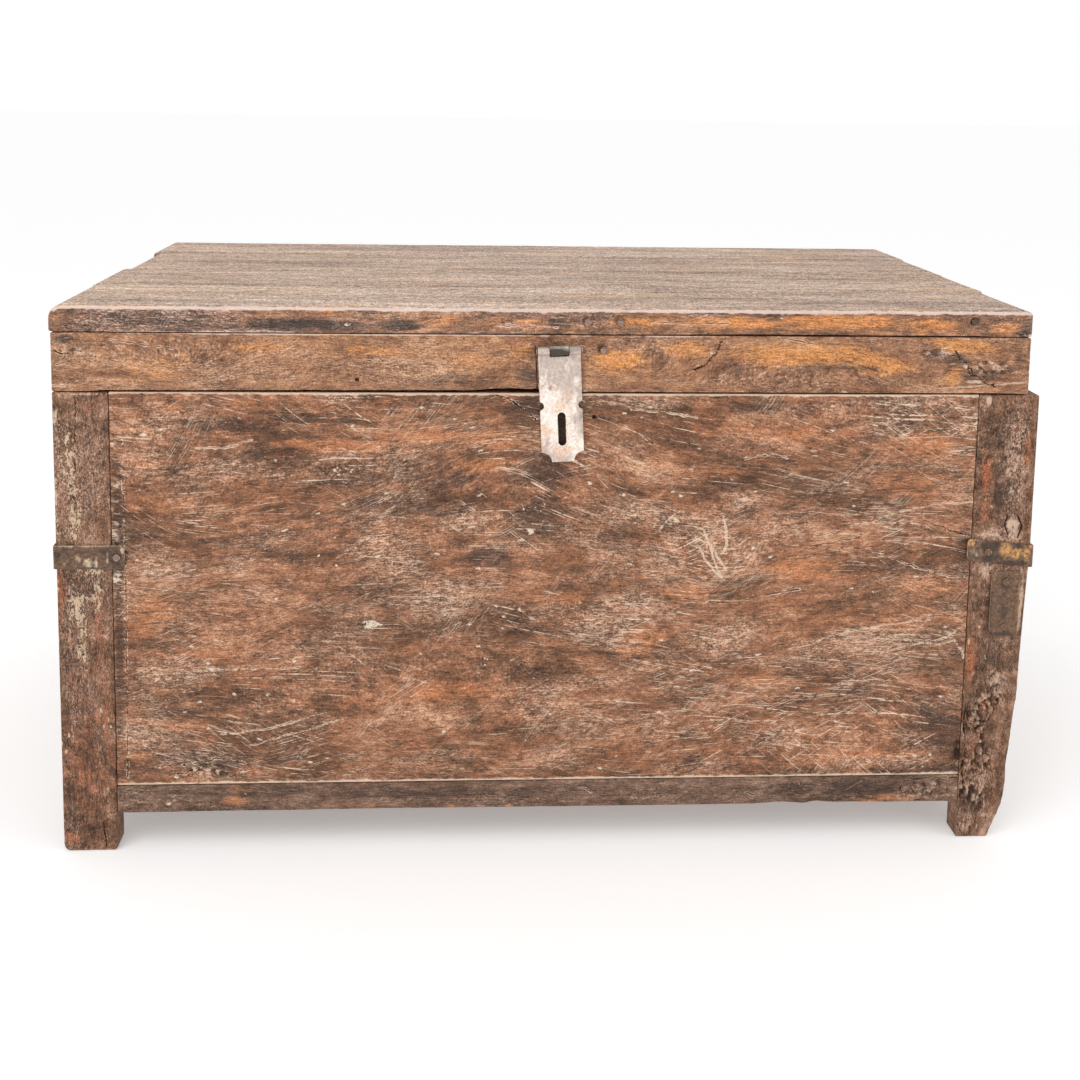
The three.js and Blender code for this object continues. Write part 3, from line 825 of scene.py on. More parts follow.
@dataclass(frozen=True)
class WoodFinish:
    """Old wood: four tones from deep to pale, local colours, and how strongly each kind of wear shows."""

    name: str
    deep: Colour
    body: Colour
    warm: Colour
    pale: Colour
    rubbed: Colour = (196, 122, 70)
    grime: Colour = (68, 52, 44)
    silt: Colour = (196, 150, 120)
    dust: Colour = (218, 188, 166)
    paint: Colour = (228, 212, 190)
    # cleft: the dark in the depths of cracks, holes and nail dents, which is dirt deepened by painted shade
    cleft: Colour = (40, 29, 24)
    ochre: Colour = (204, 160, 114)
    bleached: tuple[Colour, Colour, Colour, Colour] = (
        (128, 106, 92), (176, 150, 132), (204, 178, 158), (230, 212, 196))
    contrast: float = 1.7
    rings: float = 150.0
    stretch: float = 1.0
    haze: float = 0.6
    blotchy: float = 1.0
    fibre: float = 1.0
    scratches: float = 0.6
    flecks: float = 0.5
    roughness: float = 0.66
    relief: float = 0.8
    relief_depth: float = 1.6
    gloss: float = 0.25

    def tones(self, paint: WoodPaint, value: Value, colours: tuple[Colour, ...]) -> Socket:
        """Lays four tones over a value's middle range.

        Args:
            paint: the wood's tree.
            value: what chooses the tone.
            colours: the tones, from deep to pale.

        Returns:
            The colour.
        """
        spread = 0.16 / self.contrast
        places = (0.5 - 1.3 * spread, 0.5 - 0.35 * spread, 0.5 + 0.45 * spread, 0.5 + 1.5 * spread)
        return paint.ramp(value, *((place, tint(*colour)) for place, colour in zip(places, colours)))

    def soil(self, paint: WoodPaint) -> Value:
        """Lays rubbed places and dirt over the ground.

        Args:
            paint: the wood's tree.

        Returns:
            How clean each place is.
        """
        flush = paint.cloud(paint.raw, Cloud.FLUSH) - 0.48
        rubbed = paint.attribute("rubbed") * 1.05 + paint.lean * 0.55 + flush * 2.1 * self.blotchy
        paint.lay((rubbed + paint.streak.swing * 0.7).fade(0.28, 1.05) * 0.85, self.rubbed)
        murk = paint.cloud(paint.grain, Cloud.MURK).swing * 2.0 * self.blotchy
        murk = murk + paint.blot.swing * 1.1 - paint.streak.swing * 0.6
        murky = (paint.attribute("grime") * 1.05 - paint.lean * 0.45 + murk).fade(0.25, 1.0)
        paint.lay(murky * 0.9, self.grime)
        return 1.0 - murky * 0.3

    def silt_over(self, paint: WoodPaint, clean: Value) -> Value:
        """Lays thin silt where the wood is clean.

        Args:
            paint: the wood's tree.
            clean: how clean each place is.

        Returns:
            How thick the silt lies.
        """
        cover = paint.cloud(paint.grain, Cloud.COVER) + paint.attribute("dust") * 0.30
        veil = cover.fade(0.42, 0.80)
        brushed = (paint.hair * 0.35 + paint.blot * 0.35 + paint.grit * 0.30).fade(0.44, 0.60)
        paint.lay(veil * (brushed * 0.6 + 0.15) * self.haze * clean, self.silt)
        return veil

    def bleach(self, paint: WoodPaint, bleached: Value) -> None:
        """Turns the wood pale and grey where it lay bare to sun and damp.

        Args:
            paint: the wood's tree.
            bleached: how long each place lay bare.
        """
        band = paint.cloud(paint.grain, Cloud.BAND)
        speckle = paint.cloud(paint.raw, Cloud.SPECKLE)
        shed = self.tones(paint, band * 0.42 + paint.broad * 0.18 + speckle * 0.40, self.bleached)
        ochre = (paint.cloud(paint.grain, Cloud.OCHRE) + speckle.swing * 0.25).fade(0.52, 0.70)
        shed = paint.mix(ochre * 0.55, shed, tint(*self.ochre))
        lasting = paint.cloud(paint.grain, Cloud.LASTING)
        shed = paint.lit(shed, lasting.swing * 1.1 + 1.0)
        shed = paint.mix(lasting.fade(0.40, 0.30) * 0.55, shed, tint(*self.deep))
        weather = (bleached + paint.lean * 0.3).fade(0.35, 0.65)
        paint.colour = paint.mix(weather, paint.colour, shed)

    def fray(self, paint: WoodPaint, bleached: Value, bright: Value) -> None:
        """Draws the fibres: light and dark along them, dark between them and bright on top.

        Args:
            paint: the wood's tree.
            bleached: how long each place lay bare.
            bright: how pale the tops of the fibres are.
        """
        gain = (paint.streak.swing * 0.9 + paint.hair.swing * 1.8 + paint.grit.swing * 2.2
                + paint.blot.swing * 0.9)
        paint.colour = paint.lit(paint.colour, gain * (bleached * 0.45 + self.fibre) + 1.0)
        paint.lay(paint.streak.fade(0.40, 0.26) * 0.5 * self.fibre, self.deep)
        paint.lay(bright, self.dust)

    def scratch(self, paint: WoodPaint) -> Value:
        """Draws all scratches.

        Args:
            paint: the wood's tree.

        Returns:
            Where they are.
        """
        scuff = paint.attribute("scuff")
        lines = CROSS_SCRATCHES.lines(paint) * 0.55
        for scratches in DRAG_SCRATCHES:
            lines = lines.over(scratches.lines(paint, scuff))
        broken = paint.blot.fade(0.38, 0.56)
        paint.lay((lines * broken * (scuff * 0.5 + self.scratches)).held(), self.dust)
        return lines

    def fleck(self, paint: WoodPaint) -> None:
        """Scatters flecks of old paint, and leaves more of it at marked places.

        Args:
            paint: the wood's tree.
        """
        ragged = paint.wander(paint.raw, (260.0, 260.0, 260.0), (0.008, 0.004, 0.004))
        distance, luck = paint.cells(ragged, 120.0, 260.0, 260.0)
        cluster = paint.cloud(paint.raw, Cloud.CLUSTER).fade(0.52, 0.72) * 0.10 * self.flecks
        chance = luck + cluster - (1.0 - self.flecks) * 0.01
        speck = chance.fade(0.982, 1.0) * distance.fade(0.40, 0.22)
        residue = (paint.attribute("fleck") + paint.blot.swing * 2.8 + paint.grit.swing * 1.4
                   + paint.streak.swing).fade(0.72, 0.92)
        paint.lay(speck.over(residue) * 0.85, self.paint)

    def wear(self, paint: WoodPaint) -> None:
        """Lays worn edges and dark clefts over the rest. The clefts' dark is dirt plus painted shade in
        crack, hole and dent depths, and the worn edges include painted highlights along lit ledges.

        Args:
            paint: the wood's tree.
        """
        wear = paint.attribute("wear") + paint.blot.swing * 1.6 + paint.streak.swing * 0.8
        paint.lay(wear.fade(0.40, 0.95) * 0.8, self.dust)
        # The cleft is dirt plus painted shade in the depths of cracks, holes and dents.
        cleft = paint.attribute("cleft") + paint.blot.swing * 0.8
        paint.lay(cleft.fade(0.25, 0.75) * 0.85, self.cleft)

    def material(self) -> bpy.types.Material:
        """Builds the finish from the piece's grain and wear attributes.

        Returns:
            The material.
        """
        paint = WoodPaint(self.name, self.stretch, self.rings)
        tone = paint.broad * 0.46 + paint.mottle * 0.42 + paint.figure * 0.12
        paint.colour = self.tones(paint, tone, (self.deep, self.body, self.warm, self.pale))
        clean = self.soil(paint)
        veil = self.silt_over(paint, clean)
        bleached = paint.attribute("bleach")
        self.bleach(paint, bleached)
        bright = paint.hair * 0.5 + paint.grit * 0.3 + paint.streak * 0.2 + veil.swing * 0.06
        self.fray(paint, bleached, bright.fade(0.56, 0.66) * 0.6 * self.fibre * clean)
        lines = self.scratch(paint)
        self.fleck(paint)
        self.wear(paint)
        height = (paint.streak * 0.35 + paint.figure * 0.20 + paint.blot * 0.20 + paint.hair * 0.25
                  + lines * 0.06)
        rough = (self.roughness + paint.mottle.swing * 0.4).held()
        return paint.finish(rough, height, self.relief, self.relief_depth * MM, gloss=self.gloss)


@dataclass(frozen=True)
class IronFinish:
    """Old iron or steel: a ground colour, a patch colour, a pale stain and darker hollows."""

    name: str
    ground: Colour
    patch: Colour
    stain: Colour
    dark: Colour
    patch_share: float = 0.5
    stain_share: float = 0.4
    grain: float = 1.0
    metallic: float = 0.35
    roughness: float = 0.55
    relief: float = 0.4
    relief_depth: float = 0.6

    def material(self) -> bpy.types.Material:
        """Builds the finish on the piece's own coordinates.

        Returns:
            The material.
        """
        paint = Paint(self.name)
        where = paint.node("ShaderNodeTexCoord", {}, {}).outputs["Object"]
        wavy = paint.wander(where, (90.0, 90.0, 90.0), (0.006, 0.006, 0.006))
        broad = paint.cloud(wavy, Cloud.IRON_BROAD)
        blotch = paint.cloud(wavy, Cloud.IRON_BLOTCH)
        upright = paint.cloud(wavy, Cloud.IRON_UPRIGHT)
        grit = paint.cloud(where, Cloud.IRON_GRIT)
        speck = paint.cloud(where, Cloud.IRON_SPECK)
        paint.colour = tint(*self.ground)
        paint.lay(grit.fade(0.35, 0.75) * 0.5, self.dark)
        stain = upright * 0.4 + blotch * 0.6 + (self.stain_share - 0.5) * 0.4
        stain = (stain + paint.attribute("dust") * 0.24).fade(0.48, 0.68)
        paint.lay(stain * 0.8, self.stain)
        patch = broad * 0.6 + blotch * 0.4 + (self.patch_share - 0.5) * 0.4
        patch = (patch + paint.attribute("rubbed") * 0.22 + grit.swing * 0.12).fade(0.48, 0.64)
        paint.lay(patch * 0.8, self.patch)
        soot = (paint.attribute("grime") + blotch.swing * 1.8 + broad.swing * 0.8).fade(0.08, 0.85)
        paint.lay(soot * 0.85, self.dark)
        gain = grit.swing * 1.6 + speck.swing * 1.8
        paint.colour = paint.lit(paint.colour, gain * self.grain + 1.0)
        rim = (paint.attribute("edge") + blotch.swing * 1.8).fade(0.55, 1.1)
        paint.lay(rim * 0.5, self.stain)
        pits = grit.fade(0.60, 0.75)
        paint.lay(pits * 0.4, self.dark)
        rough = (self.roughness + blotch.swing * 0.4 + patch * 0.1).held()
        height = grit * 0.5 + blotch * 0.5 - pits * 0.3
        return paint.finish(rough, height, self.relief, self.relief_depth * MM, metallic=self.metallic)


PANEL_WOOD = WoodFinish(
    "panel_wood", (74, 48, 34), (115, 79, 57), (153, 103, 74), (191, 143, 111),
    rubbed=(182, 119, 80), grime=(80, 58, 47), silt=(204, 166, 140), dust=(230, 204, 180), haze=1.0,
    blotchy=0.68, scratches=0.95, flecks=1.0)
POST_WOOD = WoodFinish(
    "post_wood", (64, 42, 28), (108, 76, 56), (140, 103, 81), (184, 151, 129),
    rubbed=(158, 94, 64), grime=(72, 51, 39), silt=(186, 152, 131), dust=(210, 180, 158),
    paint=(208, 182, 152), haze=0.8, fibre=1.15, scratches=0.35, flecks=0.9, stretch=2.4)
RAIL_WOOD = WoodFinish(
    "rail_wood", (68, 50, 40), (104, 79, 64), (130, 101, 84), (170, 140, 120),
    rubbed=(180, 122, 84), silt=(176, 144, 122), dust=(200, 172, 152), haze=0.5, scratches=0.3)
LID_WOOD = WoodFinish(
    "lid_wood", (78, 56, 46), (124, 90, 70), (156, 112, 84), (194, 150, 120),
    rubbed=(208, 138, 82), grime=(64, 54, 50), silt=(196, 162, 142), dust=(232, 208, 196), haze=0.6,
    blotchy=0.55, scratches=0.3, flecks=0.3)
APRON_WOOD = WoodFinish(
    "apron_wood", (96, 64, 46), (138, 97, 72), (166, 120, 88), (198, 156, 126),
    rubbed=(208, 140, 80), grime=(76, 60, 51), silt=(200, 164, 138), dust=(226, 198, 178), haze=0.6,
    contrast=1.45, blotchy=0.6, scratches=0.3, flecks=0.3, rings=240.0, stretch=1.2)
SIDE_WOOD = WoodFinish(
    "side_wood", (72, 52, 42), (114, 82, 65), (146, 106, 84), (184, 146, 122),
    rubbed=(178, 112, 70), silt=(190, 150, 124), dust=(212, 182, 160), haze=0.7, scratches=0.4,
    flecks=0.6)
INSIDE_WOOD = WoodFinish(
    "inside_wood", (96, 74, 58), (140, 110, 88), (164, 132, 108), (192, 166, 144),
    haze=0.35, fibre=0.6, scratches=0.2, flecks=0.2, contrast=1.3)

STRAP_IRON = IronFinish(
    "strap_iron", (114, 84, 62), (204, 150, 90), (206, 184, 152), (54, 39, 30), patch_share=0.28,
    stain_share=0.28, grain=1.8, metallic=0.1, relief=1.2)
PLATE_IRON = IronFinish(
    "plate_iron", (114, 84, 62), (166, 124, 80), (172, 144, 114), (58, 42, 33), patch_share=0.28,
    stain_share=0.20, grain=1.7, metallic=0.1, relief=1.2)
NAIL_IRON = IronFinish(
    "nail_iron", (150, 121, 106), (146, 108, 82), (208, 182, 166), (66, 49, 41), patch_share=0.3,
    stain_share=0.55, metallic=0.1, relief=0.8)
HINGE_IRON = IronFinish(
    "hinge_iron", (84, 68, 58), (122, 84, 58), (132, 114, 98), (44, 36, 32), stain_share=0.25,
    metallic=0.2, relief=0.8)
HASP_STEEL = IronFinish(
    "hasp_steel", (206, 187, 176), (232, 196, 168), (255, 240, 228), (156, 138, 128),
    patch_share=0.34, stain_share=0.44, grain=0.6, metallic=0.45, roughness=0.42, relief=0.35)
PIN_STEEL = IronFinish(
    "pin_steel", (150, 140, 130), (140, 122, 88), (214, 206, 200), (48, 40, 22), patch_share=0.4, grain=0.4,
    metallic=0.45, roughness=0.38)


# Marks on boards


@dataclass(frozen=True)
class Stain:
    """A patch of local colour on a board's face: its middle, its reach along each way and its strength."""

    tone: Tone
    u: float
    v: float
    reach_u: float
    reach_v: float
    strength: float = 0.8

    def cover(self, u: Array, v: Array, ragged: Array) -> Array:
        """Works out how much of the colour lies on each point.

        Args:
            u: the first place on the face, in millimetres or as a share of it.
            v: the second place.
            ragged: the noise that frays the border.

        Returns:
            A number for each point.
        """
        distance = np.hypot((u - self.u) / self.reach_u, (v - self.v) / self.reach_v)
        return self.strength * fade(distance + (ragged - 0.5) * 0.8, 1.45, 0.25)


@dataclass(frozen=True)
class Crack:
    """A split along a line of points on a board's face."""

    line: tuple[Point, ...]
    width: float = 0.7
    depth: float = 1.6
    jitter: float = 2.0
    dark: float = 1.0

    def distance(self, u: Array, v: Array, sway: Array) -> Array:
        """Measures how far each point is from the split, with the line's own small jogs.

        Args:
            u: the first place on the face, in millimetres.
            v: the second place.
            sway: the noise that makes the jogs.

        Returns:
            The distances in millimetres.
        """
        best = np.full(len(u), np.inf)
        v = v + (sway - 0.5) * 2 * self.jitter
        u = u + (np.sin(sway * 40) + sway - 0.5) * 0.35 * self.jitter
        for (u0, v0), (u1, v1) in zip(self.line, self.line[1:]):
            du, dv = u1 - u0, v1 - v0
            share = np.clip(((u - u0) * du + (v - v0) * dv) / (du * du + dv * dv), 0, 1)
            best = np.minimum(best, np.hypot(u - u0 - share * du, v - v0 - share * dv))
        return best


@dataclass(frozen=True)
class Hollow:
    """A gouge, dent or rotten place on a board's face."""

    u: float
    v: float
    reach_u: float
    reach_v: float
    depth: float
    rough: float = 0.6
    dark: float = 0.0

    def bowl(self, u: Array, v: Array, ragged: Array) -> Array:
        """1 in the middle of the hollow, fading to 0 at its ragged border."""
        distance = np.hypot((u - self.u) / self.reach_u, (v - self.v) / self.reach_v)
        return fade(distance + (ragged - 0.5) * 0.9, 1.15, 0.45)

    def share(self, lumps: Array) -> Array:
        """How much of the full depth each point of the hollow's rough floor has."""
        return 1 - self.rough + 2 * self.rough * fade(lumps, 0.34, 0.66)


@dataclass(frozen=True)
class Loss:
    """Wood lost from one side of a board, so that the side recedes.

    The profile gives the loss in millimetres at places along the board. The reach is how far from the side
    the wood gives way, and through is how deep into the board from its face, 0 for all of it.
    """

    side: Side
    profile: tuple[Point, ...]
    reach: float = 8.0
    through: float = 0.0
    ragged: float = 0.3


@dataclass(frozen=True)
class Round:
    """An edge between two sides that is rounded more than the others."""

    first: Side
    second: Side
    radius: float


@dataclass
class Plank:
    """A board or post, modelled in the space of its CAD node and worn by its own marks."""

    node: str
    body: str
    slot: str
    run: Axis
    face: Side
    finish: WoodFinish
    cell: Cell = (7.0, 7.0, 7.0)
    tongue: float = 0.0
    arris: float = 1.8
    worn_arris: float = 0.7
    edge_wear: float = 0.8
    chips: float = 1.2
    chip_share: float = 0.30
    waviness: float = 0.5
    ridges: float = 0.22
    bleached: float = 0.0
    flat_back: bool = True
    tight: tuple[Side, ...] = ()
    rounds: tuple[Round, ...] = ()
    losses: tuple[Loss, ...] = ()
    cracks: tuple[Crack, ...] = ()
    hollows: tuple[Hollow, ...] = ()
    stains: tuple[Stain, ...] = ()
    swirls: tuple[tuple[float, float, float, float, float], ...] = ()

    def __post_init__(self) -> None:
        """Works out the board's box, less the tongues that its neighbours hide."""
        low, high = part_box(self.node)
        low[self.run.value] += self.tongue * MM
        high[self.run.value] -= self.tongue * MM
        self.low, self.high = low, high
        self.noise = Noise(self.node)
        across = [axis for axis in range(3) if axis not in (self.run.value, self.face.axis)]
        self.frame_axes = (self.run.value, across[0], self.face.axis)
        self.face_axes = tuple(axis for axis in range(3) if axis != self.face.axis)

    def gap(self, points: Array, side: Side) -> Array:
        """The distance of each point from one side of the box, in millimetres."""
        plane = self.high[side.axis] if side.way > 0 else self.low[side.axis]
        return np.abs(points[:, side.axis] - plane) / MM

    def to_arris(self, points: Array) -> Array:
        """The distance of each point from the nearest arris, in millimetres."""
        gaps = np.stack([self.gap(points, side) for side in Side], axis=1)
        return np.partition(gaps, 1, axis=1)[:, 1]

    def frayed(self, points: Array) -> Array:
        """The noise that frays the borders of hollows."""
        return self.noise.at(points, 11 * MM, 3)

    def lumps(self, points: Array) -> Array:
        """The noise of a hollow's rough floor."""
        return self.noise.at(points, 4.5 * MM, 3)

    def blank(self) -> Piece:
        """Models a box with rounded arrises and rings of cells.

        Returns:
            The board before any wear.
        """
        piece = Bench.box(self.node + "_wood", self.low, self.high)
        Bench.ease(piece, self.arris * MM, 3, 50.0)
        for axis, cell in enumerate(self.cell):
            Bench.split_along(piece, axis, cell * MM)
        if self.flat_back:
            _, normals = Bench.faces(piece)
            hidden = normals[:, self.face.axis] * self.face.way < -0.99
            Bench.edit(piece, Element.FACE, hidden, bpy.ops.mesh.dissolve_faces)
        return piece

    def turn_over(self, piece: Piece, edge: Round) -> None:
        """Presses the corner between two sides from square to round.

        Args:
            piece: the board.
            edge: the two sides and the radius.
        """
        points = Bench.points(piece)
        sides = (edge.first, edge.second)
        inner = [np.clip(edge.radius - self.gap(points, side), 0, None) for side in sides]
        square, circle = np.maximum(*inner), np.hypot(*inner)
        scale = 1 - np.divide(square, circle, out=np.ones_like(square), where=circle > 0)
        for side, reach in zip(sides, inner):
            Bench.press(piece, reach * scale * MM, "XYZ"[side.axis], -float(side.way))

    def on_face(self, points: Array) -> tuple[Array, Array, Array]:
        """Each point's place on the face, in millimetres, and 1 where it lies at the face."""
        u, v = (points[:, axis] / MM for axis in self.face_axes)
        return u, v, fade(self.gap(points, self.face), 5.0, 2.0)

    def crack_distance(self, points: Array) -> list[tuple[Crack, Array]]:
        """Measures the distance of each point from each crack.

        Args:
            points: places, one row each.

        Returns:
            Each crack with the distances in millimetres, which are far off the face.
        """
        u, v, at_face = self.on_face(points)
        sway = self.noise.at(points, 6 * MM, 4)
        narrow = 0.8 + 1.1 * fade(self.noise.at(points, 9 * MM, 2), 0.62, 0.30)
        return [(crack, crack.distance(u, v, sway) * narrow + (at_face < 0.5) * 1e3)
                for crack in self.cracks]

    def refine(self, piece: Piece) -> None:
        """Gives the faces near each crack and gouge a finer grid.

        Args:
            piece: the board.
        """
        middles, _ = Bench.faces(piece)
        u, v, at_face = self.on_face(middles)
        frayed = self.frayed(middles)
        rotten = np.zeros(len(middles), bool)
        for hollow in self.hollows:
            rotten |= (hollow.bowl(u, v, frayed) * at_face > 0.1) & (hollow.rough > 0.7)
        Bench.edit(piece, Element.FACE, rotten, bpy.ops.mesh.subdivide, number_cuts=1)
        middles, _ = Bench.faces(piece)
        near = np.zeros(len(middles), bool)
        for crack, distance in self.crack_distance(middles):
            near |= distance < 2.2 + crack.width
        u, v, at_face = self.on_face(middles)
        for hollow in self.hollows:
            reach = np.hypot((u - hollow.u) / hollow.reach_u, (v - hollow.v) / hollow.reach_v)
            near |= (reach * at_face > 0) & (reach < 1.5) & (hollow.dark > 0)
        Bench.edit(piece, Element.FACE, near, bpy.ops.mesh.subdivide, number_cuts=4)

    def chip_depth(self, points: Array, arris: Array) -> Array:
        """Small losses along the arrises, in millimetres.

        Args:
            points: places, one row each.
            arris: the distance of each from the nearest arris.

        Returns:
            The depth at each point.
        """
        along = self.noise.at(points, 13 * MM, 2)
        where = fade(along, 1 - self.chip_share, 1.05 - self.chip_share * 0.6)
        return self.chips * where * fade(arris, 4.5, 0.0)

    def relief(self, points: Array) -> Array:
        """Works out how far each point is pressed in.

        Args:
            points: places, one row each.

        Returns:
            The depth at each point, in metres.
        """
        u, v, at_face = self.on_face(points)
        arris = self.to_arris(points)
        frayed, lumps = self.frayed(points), self.lumps(points)
        stretch = np.full(3, 5 * MM)
        stretch[self.run.value] = 70 * MM
        depth = self.waviness * self.noise.at(points, 110 * MM, 2)
        depth += self.ridges * self.noise.at(points, stretch, 2)
        depth += self.worn_arris * fade(arris, 7.0, 0.0) * (0.4 + 1.2 * self.noise.at(points, 40 * MM, 2))
        depth += self.chip_depth(points, arris)
        for hollow in self.hollows:
            depth += hollow.depth * hollow.bowl(u, v, frayed) * hollow.share(lumps) * at_face
        for crack, distance in self.crack_distance(points):
            depth += crack.depth * fade(distance, crack.width, 0.1)
        for side in self.tight:
            depth *= 0.1 + 0.9 * fade(self.gap(points, side), 0.2, 2.5)
        return depth * MM

    def lose(self, piece: Piece, loss: Loss) -> None:
        """Lets one side of the board recede by its profile.

        Args:
            piece: the board.
            loss: the side and its profile.
        """
        points = Bench.points(piece)
        along_axis = next(axis for axis in self.face_axes if axis != loss.side.axis)
        places, depths = zip(*loss.profile)
        depth = np.interp(points[:, along_axis] / MM, places, depths)
        rough = self.noise.at(points, 9 * MM, 3)
        depth = depth * (1 - loss.ragged + 2 * loss.ragged * rough)
        share = np.clip(1 - self.gap(points, loss.side) / loss.reach, 0, 1)
        if loss.through:
            share = share * fade(self.gap(points, self.face), loss.through, loss.through * 0.4)
        Bench.press(piece, depth * share * MM, "XYZ"[loss.side.axis], -float(loss.side.way))

    def grain_vectors(self, points: Array) -> Array:
        """Works out each point's place in the grain, bent by swirls and slow waves.

        Args:
            points: places, one row each.

        Returns:
            The place along, across and through the grain, one row each.
        """
        along, across, through = (points[:, axis].copy() for axis in self.frame_axes)
        u, v = (points[:, axis] / MM for axis in self.face_axes)
        slow = np.full(3, 60 * MM)
        slow[self.run.value] = 200 * MM
        across += 0.022 * (self.noise.at(points, slow, 2) - 0.5)
        for middle_u, middle_v, reach_u, reach_v, lift in self.swirls:
            away = ((u - middle_u) / reach_u) ** 2 + ((v - middle_v) / reach_v) ** 2
            across += lift * MM * np.exp(-away)
        start = self.noise.seed * 0.37
        return np.stack([along + start, across + 0.61 * start, through], axis=1)

    def covers(self, points: Array) -> dict[Tone, Array]:
        """Works out how much of each local colour lies on the board.

        Args:
            points: places, one row each.

        Returns:
            A number for each point, by tone.
        """
        u, v, at_face = self.on_face(points)
        ragged = self.noise.at(points, 26 * MM, 3)
        covers = {tone: np.zeros(len(points)) for tone in Tone}
        for stain in self.stains:
            cover = stain.cover(u, v, ragged) * at_face
            covers[stain.tone] = np.maximum(covers[stain.tone], cover)
        return covers

    def edge_wear_at(self, points: Array) -> Array:
        """Works out how pale the arrises are worn.

        Args:
            points: places, one row each.

        Returns:
            The wear at each point.
        """
        arris = self.to_arris(points)
        patchy = 0.25 + 0.9 * fade(self.noise.at(points, 45 * MM, 2), 0.40, 0.62)
        wear = fade(arris, 4.5, 0.5) * self.edge_wear * patchy + self.chip_depth(points, arris) * 0.25
        for side in self.tight:
            wear *= 0.4 + 0.6 * fade(self.gap(points, side), 1.0, 5.0)
        return wear

    def damage(self, points: Array) -> tuple[Array, Array]:
        """Works out how pale the lips of cracks and hollows are, and how dark their depths, a dark that is
        dirt plus painted shade.

        Args:
            points: places, one row each.

        Returns:
            The wear and the cleft at each point.
        """
        u, v, at_face = self.on_face(points)
        wear, cleft = np.zeros(len(points)), np.zeros(len(points))
        for crack, distance in self.crack_distance(points):
            cleft = np.maximum(cleft, crack.dark * fade(distance, crack.width, 0.2))
            reach = 1.0 + crack.dark + (1.0 - crack.dark) * crack.width
            lip = fade(distance, reach, 0.5 + crack.dark * 0.5)
            lip *= fade(distance, 0.4 * crack.dark, 1.2 * crack.dark + 0.1)
            wear = np.maximum(wear, (1.15 - 0.45 * crack.dark) * lip)
        frayed, lumps = self.frayed(points), self.lumps(points)
        for hollow in self.hollows:
            bowl, share = hollow.bowl(u, v, frayed) * at_face, hollow.share(lumps)
            wear = np.maximum(wear, bowl * (0.30 + 0.32 * hollow.rough * fade(share, 1.0, 0.4)))
            cleft = np.maximum(cleft, 0.65 * bowl * hollow.rough * fade(share, 1.25, 1.8))
            cleft = np.maximum(cleft, hollow.dark * bowl)
        return wear, cleft

    def dress(self, piece: Piece, points: Array) -> None:
        """Keeps grain and wear at each point, and gives the board its finish.

        Args:
            piece: the board.
            points: its points as they were before any wear.
        """
        Bench.attribute(piece, "grain", self.grain_vectors(points))
        covers = self.covers(points)
        # The worn marks hold real wear and also painted highlights along ledges lit from above; both join
        # the pale edge wear.
        worn = covers.pop(Tone.WORN)
        for tone, cover in covers.items():
            Bench.attribute(piece, tone.value, cover)
        wear, cleft = self.damage(points)
        wear = np.maximum(np.maximum(self.edge_wear_at(points), wear), worn)
        Bench.attribute(piece, "wear", wear)
        Bench.attribute(piece, "cleft", cleft)
        top = fade(self.gap(points, TOP), 3.0, 0.8)
        Bench.attribute(piece, "bleach", self.bleached * top)
        coat(piece, self.finish.name)

    def build(self) -> None:
        """Models, wears and dresses the board, and puts it on its body."""
        piece = self.blank()
        self.refine(piece)
        points = Bench.points(piece)
        for edge in self.rounds:
            self.turn_over(piece, edge)
        Bench.press(piece, self.relief(points))
        for loss in self.losses:
            self.lose(piece, loss)
        Bench.smooth(piece)
        self.dress(piece, points)
        place(piece, self.body, self.slot, self.node)


def mix_finishes() -> None:
    """Builds each finish once."""
    woods = (PANEL_WOOD, POST_WOOD, RAIL_WOOD, LID_WOOD, APRON_WOOD, SIDE_WOOD, INSIDE_WOOD)
    irons = (STRAP_IRON, PLATE_IRON, NAIL_IRON, HINGE_IRON, HASP_STEEL, PIN_STEEL)
    for finish in woods + irons:
        FINISHES[finish.name] = finish.material()


def stains(**groups: tuple[tuple[float, ...], ...]) -> tuple[Stain, ...]:
    """Stains from rows of place, reach and strength.

    Args:
        groups: the rows of each tone, under the tone's own word.

    Returns:
        The stains.
    """
    return tuple(Stain(Tone(word), *row) for word, rows in groups.items() for row in rows)


